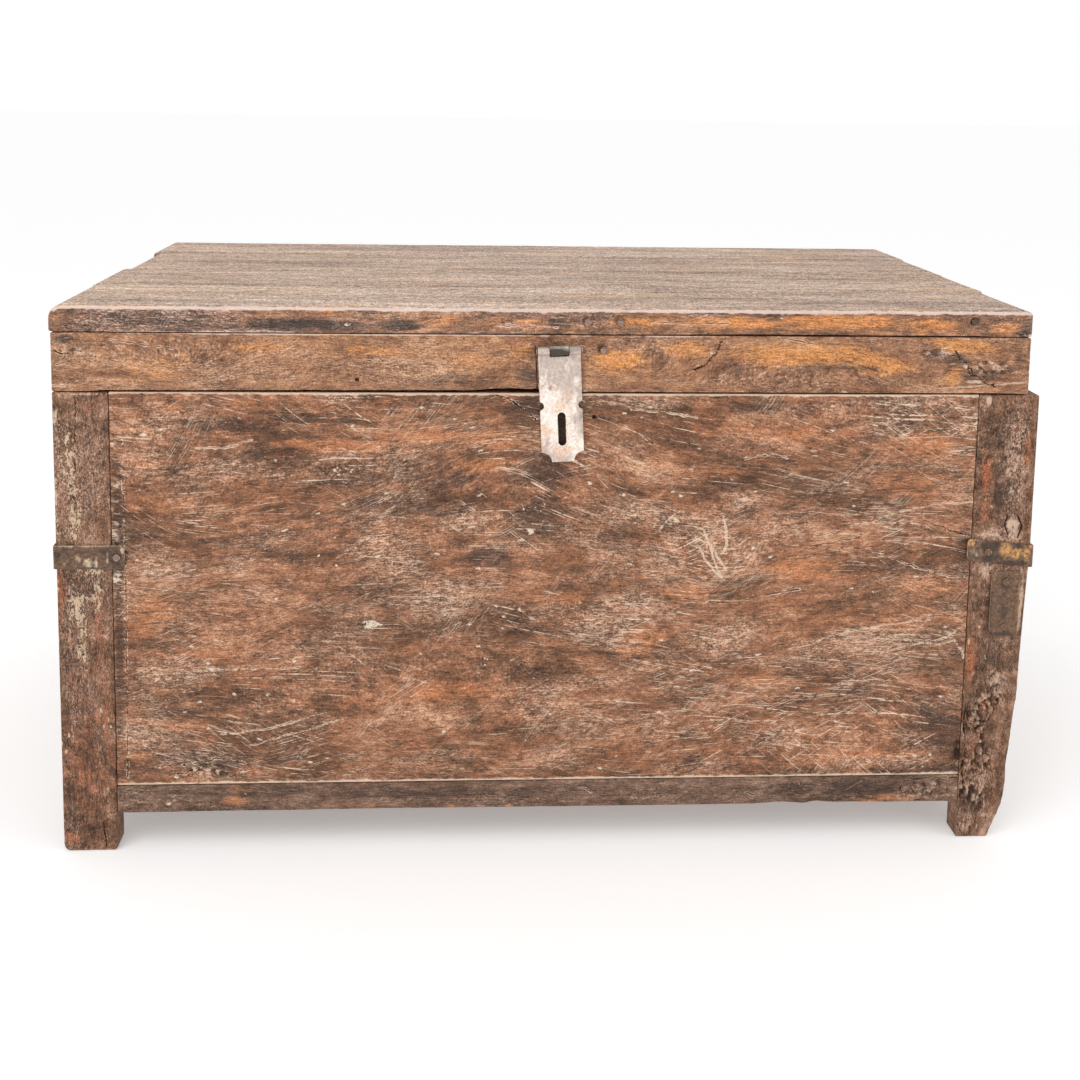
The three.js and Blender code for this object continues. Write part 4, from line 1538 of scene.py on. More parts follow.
PANEL_STAINS = stains(
    rubbed=(
        (-371, 454, 14, 9, 0.8), (-301, 457, 21, 7, 0.7), (-407, 399, 21, 12, 0.8),
        (-379, 361, 48, 16, 0.6), (-220, 415, 73, 8, 0.9), (-113, 424, 59, 8, 0.9), (-59, 422, 29, 14, 0.9),
        (-74, 397, 44, 10, 0.7), (-396, 245, 34, 29, 0.8), (-343, 209, 59, 21, 0.5),
        (-101, 163, 90, 13, 0.6), (89, 216, 32, 23, 0.8), (203, 430, 80, 12, 0.8), (144, 391, 60, 14, 0.5),
        (138, 266, 35, 13, 0.8), (249, 286, 61, 15, 0.8), (365, 417, 46, 16, 0.9), (347, 381, 51, 16, 0.7),
        (354, 235, 62, 21, 0.5), (223, 170, 46, 9, 0.8), (330, 90, 63, 9, 0.8), (-408, 99, 20, 7, 0.9),
        (-364, 128, 34, 6, 0.7), (8, 258, 40, 10, 0.5), (383, 272, 36, 15, 0.6), (-424, 240, 3, 40, 0.6)),
    grime=(
        (-335, 436, 86, 9, 0.7), (-220, 441, 77, 9, 0.6), (-133, 451, 49, 9, 0.4), (-30, 450, 27, 18, 0.9),
        (-7, 391, 30, 22, 0.9), (-24, 341, 38, 26, 1), (53, 447, 24, 18, 0.6), (56, 320, 25, 14, 0.6),
        (-132, 383, 108, 9, 0.7), (-162, 361, 117, 10, 0.5), (212, 454, 70, 8, 0.8), (343, 453, 71, 9, 0.6),
        (-70, 300, 40, 14, 0.8), (-100, 350, 50, 12, 0.6), (-264, 301, 39, 12, 0.5),
        (-340, 94, 49, 15, 0.9), (-425, 342, 10, 120, 0.7), (-429, 158, 10, 83, 0.8),
        (418, 298, 14, 94, 0.6), (406, 128, 37, 54, 0.7), (154, 82, 93, 9, 0.5), (-221, 95, 90, 11, 0.4),
        (298, 330, 51, 10, 0.4), (383, 74, 53, 10, 0.8), (-368, 144, 49, 10, 0.6), (49, 201, 61, 9, 0.4),
        # The narrow strip at (-426, 260) darkens the panel's left edge beside the post: a dark joint plus
        # painted shade of the recess there.
        (-290, 410, 190, 80, 0.28), (-426, 260, 5, 190, 1.1)),
    dust=(
        (-307, 391, 48, 14, 0.5), (-161, 310, 44, 29, 0.9), (-380, 296, 39, 22, 0.7),
        (-382, 187, 39, 19, 0.7), (-317, 301, 44, 15, 0.5), (38, 232, 50, 29, 0.7), (117, 299, 25, 25, 0.7),
        (167, 314, 45, 31, 0.7), (216, 340, 61, 21, 0.6), (86, 346, 30, 16, 0.5), (-122, 259, 59, 23, 0.5),
        (170, 215, 41, 21, 0.7), (283, 209, 62, 15, 0.7), (355, 214, 52, 21, 0.6), (-250, 167, 59, 15, 0.5),
        (340, 83, 52, 9, 0.6), (-408, 121, 23, 15, 0.8), (83, 460, 49, 8, 0.6), (-205, 465, 29, 6, 0.7),
        (343, 459, 61, 8, 0.6), (46, 315, 60, 21, 0.4), (10, 132, 61, 17, 0.4), (-73, 341, 39, 14, 0.4),
        (88, 258, 30, 17, 0.5)),
    fleck=(
        (-180, 233, 11, 4, 1.1), (-73, 209, 6, 3, 1), (-67, 193, 8, 7, 0.7), (-23, 328, 5, 4, 1.1),
        (-20, 352, 26, 6, 0.5), (-205, 392, 16, 9, 0.6), (-330, 186, 30, 6, 0.5), (117, 340, 12, 12, 0.5),
        (75, 345, 20, 8, 0.5), (424, 440, 7, 24, 0.8), (425, 330, 4, 10, 0.9), (-428, 282, 8, 8, 0.9),
        (-400, 288, 24, 6, 0.6)),
    # The long pale lines at z 467-468 and z 69 are dusty worn arrises plus a painted highlight where the
    # ledge catches light from above; the upright lines by the posts are dusty joints.
    worn=(
        (-250, 467, 200, 2, 0.9), (220, 467, 220, 2, 0.9), (0, 69, 1200, 2.2, 1),
        (-430, 330, 2.2, 150, 0.5), (429, 330, 2.4, 150, 0.6), (0, 468, 1400, 2, 1.2)),
    scuff=(
        (380, 440, 62, 26, 1.2), (330, 340, 80, 40, 0.5), (150, 305, 60, 35, 0.9), (250, 150, 190, 60, 0.7),
        (-20, 420, 60, 30, 0.7), (-380, 288, 50, 14, 0.8), (350, 205, 70, 30, 0.9),
        (-280, 110, 100, 40, 0.5), (60, 240, 60, 40, 0.6), (-150, 445, 120, 18, 0.5)),
)

PANEL_CRACKS = (
    Crack(((-420, 420), (-419, 300), (-420, 180), (-421, 76)), 0.45, 0.9, 1.4, dark=0.6),
    Crack(((430, 412), (411, 408), (394, 404)), 0.5, 1.4, dark=0.8),
    Crack(((430, 358), (388, 356), (341, 346), (321, 337)), 0.6, 0.8, dark=0.2),
    Crack(((321, 337), (290, 330), (262, 322)), 0.45, 0.8, dark=0.4),
    Crack(((430, 322), (413, 324), (393, 332), (380, 336)), 0.6, 2.2),
    Crack(((431, 279), (402, 280), (371, 289), (336, 302), (323, 305)), 0.6, 1.2, dark=0.35),
    Crack(((385, 234), (340, 230), (316, 225), (288, 220), (265, 210), (242, 205)), 0.7, 0.8, dark=0.1),
    Crack(((427, 179), (421, 200), (412, 212), (394, 208), (360, 214)), 0.6, 0.7, dark=0.15),
    Crack(((420, 228), (400, 214), (360, 206), (338, 200)), 0.6, 0.6, dark=0.15),
    Crack(((134, 258), (185, 252), (208, 261), (249, 267)), 0.5, 1.2, 1.2, dark=0.7),
    Crack(((258, 312), (282, 316), (310, 322)), 0.5, 1, 1.5, dark=0.7),
    Crack(((-349, 413), (-319, 413), (-296, 421)), 0.6, 0.8, dark=0.15),
    Crack(((-355, 186), (-317, 188), (-250, 189)), 0.6, 0.8, dark=0.15),
    Crack(((-63, 468), (-50, 464), (-40, 458), (-18, 441)), 0.6, 1.4, dark=0.7),
    Crack(((-390, 86), (-352, 90), (-330, 96), (-300, 88)), 0.6, 1.6, 4, dark=0.6),
    Crack(((-372, 78), (-344, 82), (-322, 76)), 0.6, 1.6, 4, dark=0.7),
    Crack(((-330, 120), (-280, 126), (-225, 142)), 0.6, 0.8, dark=0.2),
    Crack(((-300, 108), (-250, 122), (-205, 136)), 0.5, 0.7, dark=0.15),
    Crack(((190, 402), (205, 406), (232, 403)), 0.8, 0.9, 2.5, dark=0.3),
    Crack(((75, 452), (110, 449), (140, 444)), 0.5, 0.7, 2, dark=0.15),
    Crack(((140, 333), (150, 330), (157, 314), (163, 294), (170, 280)), 0.5, 0.3, 1, dark=0.05),
    Crack(((147, 311), (153, 299), (162, 287), (172, 278)), 0.4, 0.3, 1, dark=0.05),
    Crack(((159, 314), (165, 301), (174, 289)), 0.4, 0.3, 1, dark=0.05),
    Crack(((170, 343), (173, 330), (174, 314), (171, 307)), 0.9, 0.4, 1, dark=0),
    Crack(((106, 330), (114, 340), (126, 349)), 0.7, 0.3, 1, dark=0),
)

PANEL_HOLLOWS = (
    Hollow(-344, 80, 34, 13, 1.8, 0.9), Hollow(38, 444, 2.6, 2.6, 4, 0, 1),
    Hollow(6.5, 433.5, 5.5, 22, 2.5, 0, 1.3), Hollow(-40, 458, 22, 8, 0.8, 0.5),
    Hollow(258, 410, 12, 3, 1, 0.8), Hollow(117, 340, 20, 20, 0.5, 0.8), Hollow(426, 330, 7, 120, 0.8, 0.8),
    Hollow(-428, 330, 6, 120, 0.7, 0.8), Hollow(424, 90, 9, 30, 1.6, 0.9),
)

PANEL_SWIRLS = (
    (165, 290, 70, 45, 16), (-380, 330, 120, 70, 22), (300, 420, 150, 60, 18), (-40, 400, 90, 60, -24),
    (-150, 120, 200, 60, 20), (330, 150, 160, 60, -20),
)

LEFT_POST_STAINS = stains(
    rubbed=(
        (-456, 150, 30, 110, 0.35), (-453, 451, 11, 10, 0.7), (-476, 362, 7, 30, 0.6),
        (-482, 271, 8, 30, 0.6), (-445, 220, 6, 62, 0.7), (-456, 158, 12, 62, 0.4), (-446, 137, 6, 4, 0.9),
        (-477, 14, 10, 6, 0.9)),
    grime=(
        (-452, 140, 34, 110, 0.55), (-449, 431, 13, 39, 0.6), (-456, 362, 15, 40, 0.5),
        (-448, 261, 15, 51, 0.6), (-478, 200, 8, 21, 0.7), (-473, 54, 14, 42, 0.6), (-471, 306, 19, 8, 0.3),
        (-460, 130, 40, 120, 0.42)),
    dust=(
        (-458, 425, 30, 40, 0.45), (-480, 421, 7, 30, 0.7), (-465, 401, 9, 26, 0.9), (-484, 342, 4, 40, 1),
        (-464, 357, 13, 20, 0.7), (-471, 332, 10, 18, 0.7), (-467, 251, 12, 26, 1), (-464, 210, 8, 27, 0.9),
        (-457, 286, 19, 10, 0.6), (-448, 286, 13, 14, 0.5), (-470, 380, 14, 80, 0.6)),
    fleck=(
        (-467, 251, 11, 30, 0.85), (-466, 340, 11, 40, 0.78), (-472, 405, 10, 34, 0.75),
        (-452, 290, 18, 7, 0.8), (-447, 262, 8, 20, 0.72), (-484, 360, 3, 50, 0.8),
        (-461, 222, 8, 30, 0.75), (-468, 376, 5, 16, 0.85), (-483, 442, 3, 12, 1),
        (-461, 208, 5, 12, 0.9)),
    # The pale line along the post's top edge is a worn arris plus a painted highlight of the ledge lit from
    # above.
    worn=((-460, 466, 30, 1.6, 0.9),),
)

LEFT_POST_CRACKS = (
    Crack(((-463, 466), (-464, 430), (-465, 385)), 0.5, 1.6, 2.2, dark=0.7),
    Crack(((-446, 30), (-444, 14), (-443, 4)), 0.7, 1.4, 1.2),
    Crack(((-466, 228), (-458, 205), (-459, 190)), 0.5, 1.2, 1.5, dark=0.6),
)

LEFT_POST_HOLLOWS = (
    Hollow(-476, 451, 10, 4, 1.2), Hollow(-467, 240, 12, 40, 0.7), Hollow(-452, 4, 22, 6, 1.4),
    Hollow(-440, 60, 8, 14, 1.2),
)

RIGHT_POST_STAINS = stains(
    rubbed=(
        (476, 412, 5, 23, 0.9), (434, 391, 6, 31, 0.8), (435, 350, 8, 21, 0.6), (429, 192, 8, 32, 0.6),
        (452, 144, 8, 13, 0.9), (442, 100, 6, 22, 0.7), (462, 433, 6, 10, 0.5)),
    grime=(
        (446, 422, 10, 31, 0.5), (449, 381, 8, 62, 0.7), (460, 360, 10, 42, 0.6), (461, 256, 15, 42, 0.5),
        (435, 256, 12, 63, 0.5), (449, 106, 21, 43, 0.7), (442, 40, 21, 22, 0.8),
        (450, 180, 34, 150, 0.6)),
    dust=(
        (464, 381, 12, 46, 0.8), (466, 430, 12, 20, 0.6), (452, 324, 25, 6, 0.9), (466, 333, 8, 10, 0.9),
        (444, 285, 12, 6, 0.9), (462, 165, 15, 15, 0.9), (444, 144, 13, 13, 0.9), (435, 111, 15, 11, 0.6),
        (452, 62, 21, 15, 0.7), (439, 13, 17, 11, 0.9), (478, 256, 3, 42, 0.9), (464, 208, 15, 9, 0.8)),
    worn=(
        (480, 250, 3, 36, 0.9), (466, 333, 9, 12, 0.9), (444, 324, 20, 3, 0.8), (438, 288, 7, 10, 0.9),
        (464, 170, 12, 12, 0.7), (455, 62, 20, 14, 0.4), (440, 10, 14, 9, 0.8), (434, 462, 3.5, 6, 1.1)),
)

RIGHT_POST_CRACKS = (
    Crack(((459, 344), (457, 334), (461, 323)), 1.1, 2.2, 0.8),
    Crack(((470, 344), (475, 333), (471, 321)), 1.1, 2.2, 0.8),
    Crack(((462, 455), (464, 432), (461, 412)), 0.7, 1.4, 2, dark=0.6),
    Crack(((470, 430), (468, 400), (471, 372)), 0.6, 1.2, 2.5, dark=0.6),
    Crack(((428, 120), (431, 96), (428, 70), (433, 44)), 0.9, 2.4, 2.5),
    Crack(((466, 150), (456, 128), (441, 112)), 0.9, 2.2, 2),
    Crack(((448, 12), (449, 5), (447, -2)), 0.7, 1.4, 1.2),
)

RIGHT_POST_HOLLOWS = (
    Hollow(466, 333, 10, 12, 1.2, 0.4), Hollow(462, 170, 14, 16, 2.2, 0.9),
    Hollow(455, 148, 22, 16, 2.8, 0.9), Hollow(438, 122, 18, 22, 3, 0.9), Hollow(450, 84, 26, 24, 2.6, 0.9),
    Hollow(436, 50, 16, 20, 2.2, 0.9), Hollow(456, 40, 22, 24, 1.2, 0.8), Hollow(438, 14, 15, 14, 1.6, 0.8),
    Hollow(464, 385, 12, 45, 1, 0.8), Hollow(440, 296, 9, 12, 1.4, 0.8),
)

RIGHT_FOOT_LOSS = (
    (0, 28), (36, 14), (58, 11), (75, 12), (110, 9), (136, 7), (150, 5), (200, 4), (262, 2), (310, 0),
)

RAIL_STAINS = stains(
    rubbed=(
        (-305, 62, 16, 5, 0.8), (-315, 50, 20, 5, 0.8), (363, 44, 42, 5, 0.8), (332, 41, 21, 4, 0.7),
        (-191, 43, 60, 3, 0.6), (-100, 41, 5, 2, 1.4), (-40, 41, 4, 2, 1.4)),
    grime=(
        (-389, 58, 39, 10, 0.5), (-281, 61, 50, 7, 0.8), (-151, 58, 90, 9, 0.6), (11, 58, 61, 8, 0.7),
        (258, 54, 83, 7, 0.7), (321, 55, 42, 7, 0.8)),
    dust=(
        (-414, 64, 16, 7, 0.8), (-370, 52, 39, 6, 0.5), (-100, 48, 81, 5, 0.5), (93, 50, 41, 5, 0.5),
        (389, 49, 32, 10, 0.9)),
    worn=((392, 50, 32, 10, 0.6),),
)

RAIL_CRACKS = (
    Crack(((362, 52), (366, 62), (392, 65), (424, 65)), 0.8, 1.6, 1.5),
    Crack(((190, 54), (222, 48), (245, 43)), 0.5, 1, dark=0.6),
    Crack(((20, 66), (36, 58), (44, 54)), 0.5, 0.8, dark=0.4),
)

RAIL_HOLLOWS = (
    Hollow(394, 52, 34, 12, 2.4, 0.9), Hollow(-420, 60, 12, 8, 1), Hollow(330, 44, 30, 5, 1, 0.8),
)

RAIL_UNDERSIDE = (
    (-432, 0.2), (-400, 0.1), (-330, 0.7), (-240, 0.3), (-235, 1), (-150, 0.8), (20, 0.3), (150, 0.1),
    (210, 0.3), (240, 2), (262, 0.2), (276, 2.4), (292, 1), (350, 0.2), (424, 0),
)

APRON_STAINS = stains(
    rubbed=(
        (-376, 492, 60, 20, 0.6), (-339, 506, 24, 10, 0.4), (-286, 512, 38, 7, 0.7),
        (-181, 509, 48, 9, 0.8), (-85, 501, 39, 12, 0.5), (-36, 511, 16, 12, 0.6), (62, 500, 35, 14, 0.9),
        (131, 512, 30, 10, 0.7), (240, 508, 80, 14, 1), (321, 498, 40, 14, 0.8), (404, 516, 40, 7, 0.8),
        (395, 488, 10, 14, 0.6), (395, 520, 36, 6, 0.8)),
    grime=(
        (446, 492, 20, 12, 0.75), (462, 505, 10, 14, 0.6), (372, 508, 16, 7, 0.6), (-472, 519, 15, 6, 0.9),
        (-438, 515, 28, 4, 0.6), (281, 495, 60, 5, 0.7), (396, 502, 22, 12, 0.7), (427, 492, 20, 10, 0.6),
        (-104, 481, 87, 6, 0.5), (-31, 484, 14, 12, 0.6), (176, 498, 14, 14, 0.5),
        (420, 486, 26, 10, 0.7)),
    dust=(
        (-370, 492, 110, 24, 0.5), (-420, 480, 57, 7, 0.6), (-467, 490, 19, 12, 0.6),
        (-296, 486, 67, 10, 0.6), (-133, 491, 58, 12, 0.5), (378, 512, 16, 9, 0.9), (142, 482, 60, 7, 0.6),
        (4, 477, 20, 8, 0.5), (-462, 500, 24, 22, 0.6)),
    # The long pale lines along the top edge at z 526 are a dusty arris plus a painted highlight of the ledge
    # lit from above; the short ones by the crack and hollows are wear.
    worn=(
        (-200, 526, 290, 1.6, 1), (110, 526, 70, 1.4, 0.9), (417, 481.5, 9, 2, 1.4), (384, 510, 9, 6, 0.8),
        (408, 497, 4, 3, 0.9)),
)

APRON_CRACKS = (
    Crack(((162, 522), (158, 512), (153, 504), (145, 497), (135, 492)), 0.7, 2, 3),
    # A dark groove down the apron beside the hasp's left edge: a painted shadow of the strap, which stands
    # off the apron.
    Crack(((-20.6, 516), (-18.4, 469)), 1.2, 1, 0.3),
    Crack(((395, 514), (406, 503), (411, 496), (414, 489), (427, 482), (440, 478)), 1, 3, 4),
    Crack(((372, 474), (420, 477), (470, 481)), 0.6, 0.8, 0.6, dark=0),
    Crack(((-442, 504), (-452, 511), (-464, 508)), 0.6, 1.2, 3, dark=0.2),
    Crack(((-485, 509), (-474, 504), (-470, 506)), 0.7, 1.6, 3, dark=0.7),
    Crack(((-486, 496), (-478, 495), (-470, 497)), 0.7, 1.4, dark=0.3),
    Crack(((-486, 474), (-474, 475), (-460, 479)), 0.7, 1.2, 3, dark=0.2),
    Crack(((-432, 520), (-400, 515), (-370, 511)), 0.5, 0.8, 1, dark=0.5),
    Crack(((228, 523), (240, 521), (252, 519)), 0.8, 1.2, 2, dark=0.5),
)

APRON_HOLLOWS = (
    Hollow(378, 511, 18, 8, 1.6, 0.9), Hollow(413, 481, 12, 3, 2.6, 0.4, 0),
    Hollow(-194, 481, 2.4, 2.4, 3, 0, 1), Hollow(-462, 508, 18, 8, 1, 0.9),
    Hollow(430, 495, 24, 14, 1.2, 0.9), Hollow(6, 517, 26, 5, 0.8, 0.7),
    Hollow(44.5, 512.5, 7.5, 7, 2, 0.5, 0.65),
)

APRON_SWIRLS = (
    (-360, 495, 60, 16, 14), (250, 500, 90, 18, -12), (100, 490, 50, 16, 10),
)

APRON_UNDERSIDE = (
    (-485, 0.2), (-450, 0.4), (-436, 1.4), (-340, 1.6), (-200, 2.2), (-80, 2.6), (-62, 4.4), (-20, 4.6),
    (-14, 1.8), (60, 1.2), (300, 1), (440, 1.2), (473, 0.3),
)

BOARD_STAINS = stains(
    rubbed=(
        (-220, 546, 38, 4, 0.6), (-114, 540, 29, 8, 0.5), (-36, 536, 39, 7, 0.6), (81, 540, 39, 8, 0.8),
        (169, 538, 59, 8, 0.9), (289, 541, 70, 9, 1), (369, 539, 40, 9, 0.9), (445, 536, 24, 8, 0.9),
        (-222, 549, 8, 4, 1.6), (300, 536, 150, 14, 0.4)),
    grime=(
        (-420, 541, 21, 9, 0.9), (-461, 536, 21, 8, 0.5), (-267, 535, 36, 7, 1.2), (-215, 535, 38, 6, 1.2),
        (-152, 535, 25, 7, 1.2), (139, 551, 30, 5, 0.7), (-75, 543, 39, 6, 0.4), (-370, 538, 120, 14, 0.7),
        (-170, 546, 60, 6, 0.5), (0, 542, 90, 8, 0.45), (-470, 540, 14, 14, 0.45), (462, 532, 12, 8, 0.6)),
    dust=(
        (-353, 541, 60, 8, 0.8), (-305, 529, 57, 3, 0.7), (-400, 531, 60, 6, 0.7), (140, 547, 30, 3, 0.8),
        (-446, 540, 50, 14, 0.8), (20, 548, 60, 5, 0.6)),
    # The pale band along the front top arris at z 552 and the line along the lower edge at z 526.5 are worn
    # arrises plus a painted highlight where the edge catches light.
    worn=((0, 552, 1400, 3.8, 1.25), (-350, 526.5, 140, 1.2, 0.9), (472, 528, 9, 1.8, 1.2)),
)

BOARD_HOLLOWS = (
    Hollow(30, 540, 6.5, 6, 1.4, 0.6, 0.35), Hollow(62, 541, 7.5, 6.5, 2, 0.5, 0.6),
    Hollow(415, 542, 7, 6.5, 2.8, 0.3, 0.85), Hollow(130, 548, 28, 3.5, 0.8, 0.6),
    Hollow(-470, 530, 12, 6, 1.2), Hollow(466, 530, 8, 6, 1.6, 0.9, 0.3),
)

BOARD_CRACKS = (
    Crack(((402, 527), (405, 532), (403, 537)), 0.5, 1, 0.8, dark=0.8),
    Crack(((-60, 535), (-20, 536), (0, 533)), 0.5, 0.8, 1.5, dark=0.4),
    Crack(((90, 540), (130, 538), (170, 539)), 0.5, 0.8, 1, dark=0.5),
)

BOARD_UNDERSIDE = (
    (-488, 0.2), (-440, 0.6), (0, 0.5), (90, 0.6), (130, 0.8), (180, 1.4), (300, 1.2), (420, 1), (440, 0.3),
    (480, 0.2),
)

TOP_CRACKS = {
    2: (Crack(((-96, -80), (-54, -77), (-30, -72)), 0.9, 1.6, 1.5),
        Crack(((300, -30), (380, -34), (470, -32)), 0.7, 1.4, 1.5, dark=0.8)),
    3: (Crack(((-484, 60), (-420, 64), (-360, 62)), 0.8, 1.4, 1.5, dark=0.9),),
    4: (Crack(((140, 163), (180, 167), (222, 169)), 1, 1.6, 1.5),
        Crack(((-200, 220), (-120, 222)), 0.7, 1.2, 1.5, dark=0.8)),
}

# Stains on the straps, with painted light: a painted highlight along the top edges and a painted shadow line
# along the left strap's bottom edge.
STRAP_STAINS_AND_EDGE_LIGHT = {
    "front_left_strap": stains(
        grime=(
            (0.3, 0.75, 0.22, 0.25, 0.45), (0.72, 0.7, 0.12, 0.3, 0.5), (0.88, 0.42, 0.1, 0.45, 0.7),
            # (0.5, 0.03): a painted shadow line along the bottom edge
            (0.06, 0.6, 0.06, 0.4, 0.5), (0.5, 0.03, 0.6, 0.07, 0.8)),
        dust=(
            (0.49, 0.25, 0.07, 0.32, 1), (0.6, 0.28, 0.03, 0.28, 1.1), (0.18, 0.2, 0.06, 0.2, 0.6),
            # (0.45, 0.97): a painted highlight along the top edge
            (0.34, 0.45, 0.06, 0.4, 0.5), (0.757, 0.45, 0.02, 0.35, 0.9), (0.45, 0.97, 0.5, 0.08, 0.7),
            (0.97, 0.8, 0.03, 0.15, 1))),
    "front_right_strap": stains(
        rubbed=(
            (0.59, 0.64, 0.12, 0.3, 0.9), (0.74, 0.51, 0.1, 0.22, 0.85), (0.91, 0.47, 0.06, 0.34, 0.8),
            (0.95, 0.77, 0.04, 0.12, 1), (0.05, 0.9, 0.07, 0.14, 1.3)),
        grime=(
            (0.35, 0.68, 0.15, 0.32, 1), (0.35, 0.34, 0.22, 0.18, 0.8), (0.76, 0.77, 0.08, 0.12, 0.8),
            (0.63, 0.14, 0.34, 0.12, 0.9)),
        # (0.4, 0.97): a painted highlight along the top edge
        dust=((0.1, 0.64, 0.04, 0.18, 0.7), (0.14, 0.47, 0.05, 0.1, 0.6), (0.4, 0.97, 0.4, 0.06, 0.5))),
}

PLATE_STAINS_AND_SHADOW = stains(
    rubbed=((0.87, 0.92, 0.12, 0.1, 0.9), (0.13, 0.9, 0.1, 0.15, 0.8), (0.97, 0.5, 0.06, 0.4, 0.8)),
    grime=(
        # (0.5, 0.04): painted shade along the raised plate's rounded lower edge
        (0.48, 0.81, 0.2, 0.12, 0.7), (0.45, 0.5, 0.18, 0.3, 0.5), (0.5, 0.04, 0.45, 0.06, 1),
        (0.03, 0.45, 0.05, 0.4, 0.6)),
)

HASP_MARKS = stains(
    rubbed=(
        (0.22, 0.26, 0.16, 0.1, 0.7), (0.55, 0.07, 0.34, 0.08, 0.65), (0.6, 0.52, 0.2, 0.12, 0.6),
        (0.4, 0.62, 0.2, 0.05, 0.5), (0.12, 0.17, 0.08, 0.05, 0.8)),
    grime=(
        (0.93, 0.42, 0.05, 0.09, 0.6), (0.27, 0.63, 0.05, 0.03, 0.6), (0.5, 0.99, 0.6, 0.045, 0.9),
        (0.72, 0.91, 0.08, 0.03, 0.5), (0.93, 0.75, 0.05, 0.15, 0.4), (0.08, 0.88, 0.05, 0.08, 0.4)),
    dust=(
        (0.26, 0.4, 0.42, 0.24, 1.3), (0.62, 0.2, 0.34, 0.2, 0.8), (0.22, 0.56, 0.18, 0.1, 0.9),
        (0.75, 0.48, 0.22, 0.1, 0.7), (0.85, 0.12, 0.16, 0.12, 1.1), (0.12, 0.74, 0.08, 0.1, 0.5),
        (0.8, 0.7, 0.12, 0.05, 0.5)),
)

# Darker across the top of each lid nail's head and down its right side.
NAIL_MARKS = stains(grime=((0.45, 0.98, 0.7, 0.24, 0.9), (0.98, 0.5, 0.15, 0.5, 0.5)))
# On the hasp's middle knuckle: painted shade over its lower half and a painted highlight along its top.
KNUCKLE_SHADE_AND_HIGHLIGHT = stains(grime=((0.5, 0.78, 0.8, 0.15, 2.2),), dust=((0.5, 0.99, 0.8, 0.05, 0.9),))


# Sub-assemblies


FRONT_RIM = (LEFT, RIGHT, TOP, UNDER)
END_RIM = (FRONT, BACK, TOP, UNDER)
HIDDEN_SIDES = (("rear", Axis.X, BACK), ("left", Axis.Y, LEFT), ("right", Axis.Y, RIGHT))


@dataclass
class Carcass:
    """Posts, walls, rails and floor."""

    tongue: float = 10.0
    left_post_cell: Cell = (2.4, 4.0, 2.8)
    right_post_cell: Cell = (2.0, 4.0, 2.4)
    rear_post_cell: Cell = (6.0, 6.0, 6.0)
    front_cell: Cell = (3.6, 6.0, 2.6)
    wall_cell: Cell = (8.0, 8.0, 5.0)
    rail_cell: Cell = (8.0, 8.0, 6.0)
    floor_cell: Cell = (12.0, 12.0, 9.0)
    floor_boards: int = 5

    def posts(self) -> list[Plank]:
        """Lists the four corner posts.

        Returns:
            The posts.
        """
        common = {"body": "chest", "slot": "body_wood", "run": Axis.Z, "finish": POST_WOOD,
                  "flat_back": False, "chips": 1.4, "chip_share": 0.4}
        made = [
            Plank("front_left_post", face=FRONT, cell=self.left_post_cell, tight=FRONT_RIM,
                  rounds=(Round(LEFT, UNDER, 7.0), Round(RIGHT, UNDER, 4.0),
                          Round(LEFT, FRONT, 2.0)),
                  stains=LEFT_POST_STAINS, cracks=LEFT_POST_CRACKS, hollows=LEFT_POST_HOLLOWS, **common),
            Plank("front_right_post", face=FRONT, cell=self.right_post_cell, tight=FRONT_RIM,
                  rounds=(Round(RIGHT, UNDER, 4.0), Round(RIGHT, FRONT, 2.0)),
                  losses=(Loss(RIGHT, RIGHT_FOOT_LOSS, 61.0, 0.0, 0.08),),
                  stains=RIGHT_POST_STAINS, cracks=RIGHT_POST_CRACKS, hollows=RIGHT_POST_HOLLOWS,
                  **common),
        ]
        for outer, inner in ((LEFT, RIGHT), (RIGHT, LEFT)):
            made.append(Plank(
                f"rear_{outer.word}_post", face=BACK, cell=self.rear_post_cell,
                tight=(inner, TOP),
                rounds=(Round(outer, UNDER, 7.0), Round(outer, BACK, 3.0)), **common))
        return made

    def walls(self) -> list[Plank]:
        """Lists the front panel and the side and rear boards.

        Returns:
            The boards.
        """
        common = {"body": "chest", "slot": "body_wood", "tongue": self.tongue}
        made = [Plank("front_panel", run=Axis.X, face=FRONT, finish=PANEL_WOOD, cell=self.front_cell,
                      tight=FRONT_RIM, waviness=0.6, arris=1.2, worn_arris=0.6, chips=1.4,
                      stains=PANEL_STAINS, cracks=PANEL_CRACKS, hollows=PANEL_HOLLOWS,
                      swirls=PANEL_SWIRLS, **common)]
        for level in ("lower", "upper"):
            for name, run, face in HIDDEN_SIDES:
                made.append(Plank(f"{name}_{level}_board", run=run, face=face, finish=SIDE_WOOD,
                                  cell=self.wall_cell, tight=FRONT_RIM if run is Axis.X else END_RIM,
                                  **common))
        return made

    def rails(self) -> list[Plank]:
        """Lists the four bottom rails.

        Returns:
            The rails.
        """
        common = {"body": "chest", "slot": "body_wood", "finish": RAIL_WOOD, "tongue": self.tongue,
                  "flat_back": False}
        made = [Plank("front_rail", run=Axis.X, face=FRONT, cell=self.front_cell, tight=FRONT_RIM,
                      losses=(Loss(UNDER, RAIL_UNDERSIDE, 9.0, 0.0, 0.6),), stains=RAIL_STAINS,
                      cracks=RAIL_CRACKS, hollows=RAIL_HOLLOWS, **common)]
        for name, run, face in HIDDEN_SIDES:
            made.append(Plank(f"{name}_rail", run=run, face=face, cell=self.rail_cell, **common))
        return made

    def floor(self) -> list[Plank]:
        """The floor boards."""
        return [Plank(f"floor_board_{i}", "chest", "floor_wood", Axis.Y, TOP, INSIDE_WOOD,
                      self.floor_cell)
                for i in range(1, self.floor_boards + 1)]

    def build(self) -> None:
        """Builds every board of the body."""
        for plank in self.posts() + self.walls() + self.rails() + self.floor():
            plank.build()


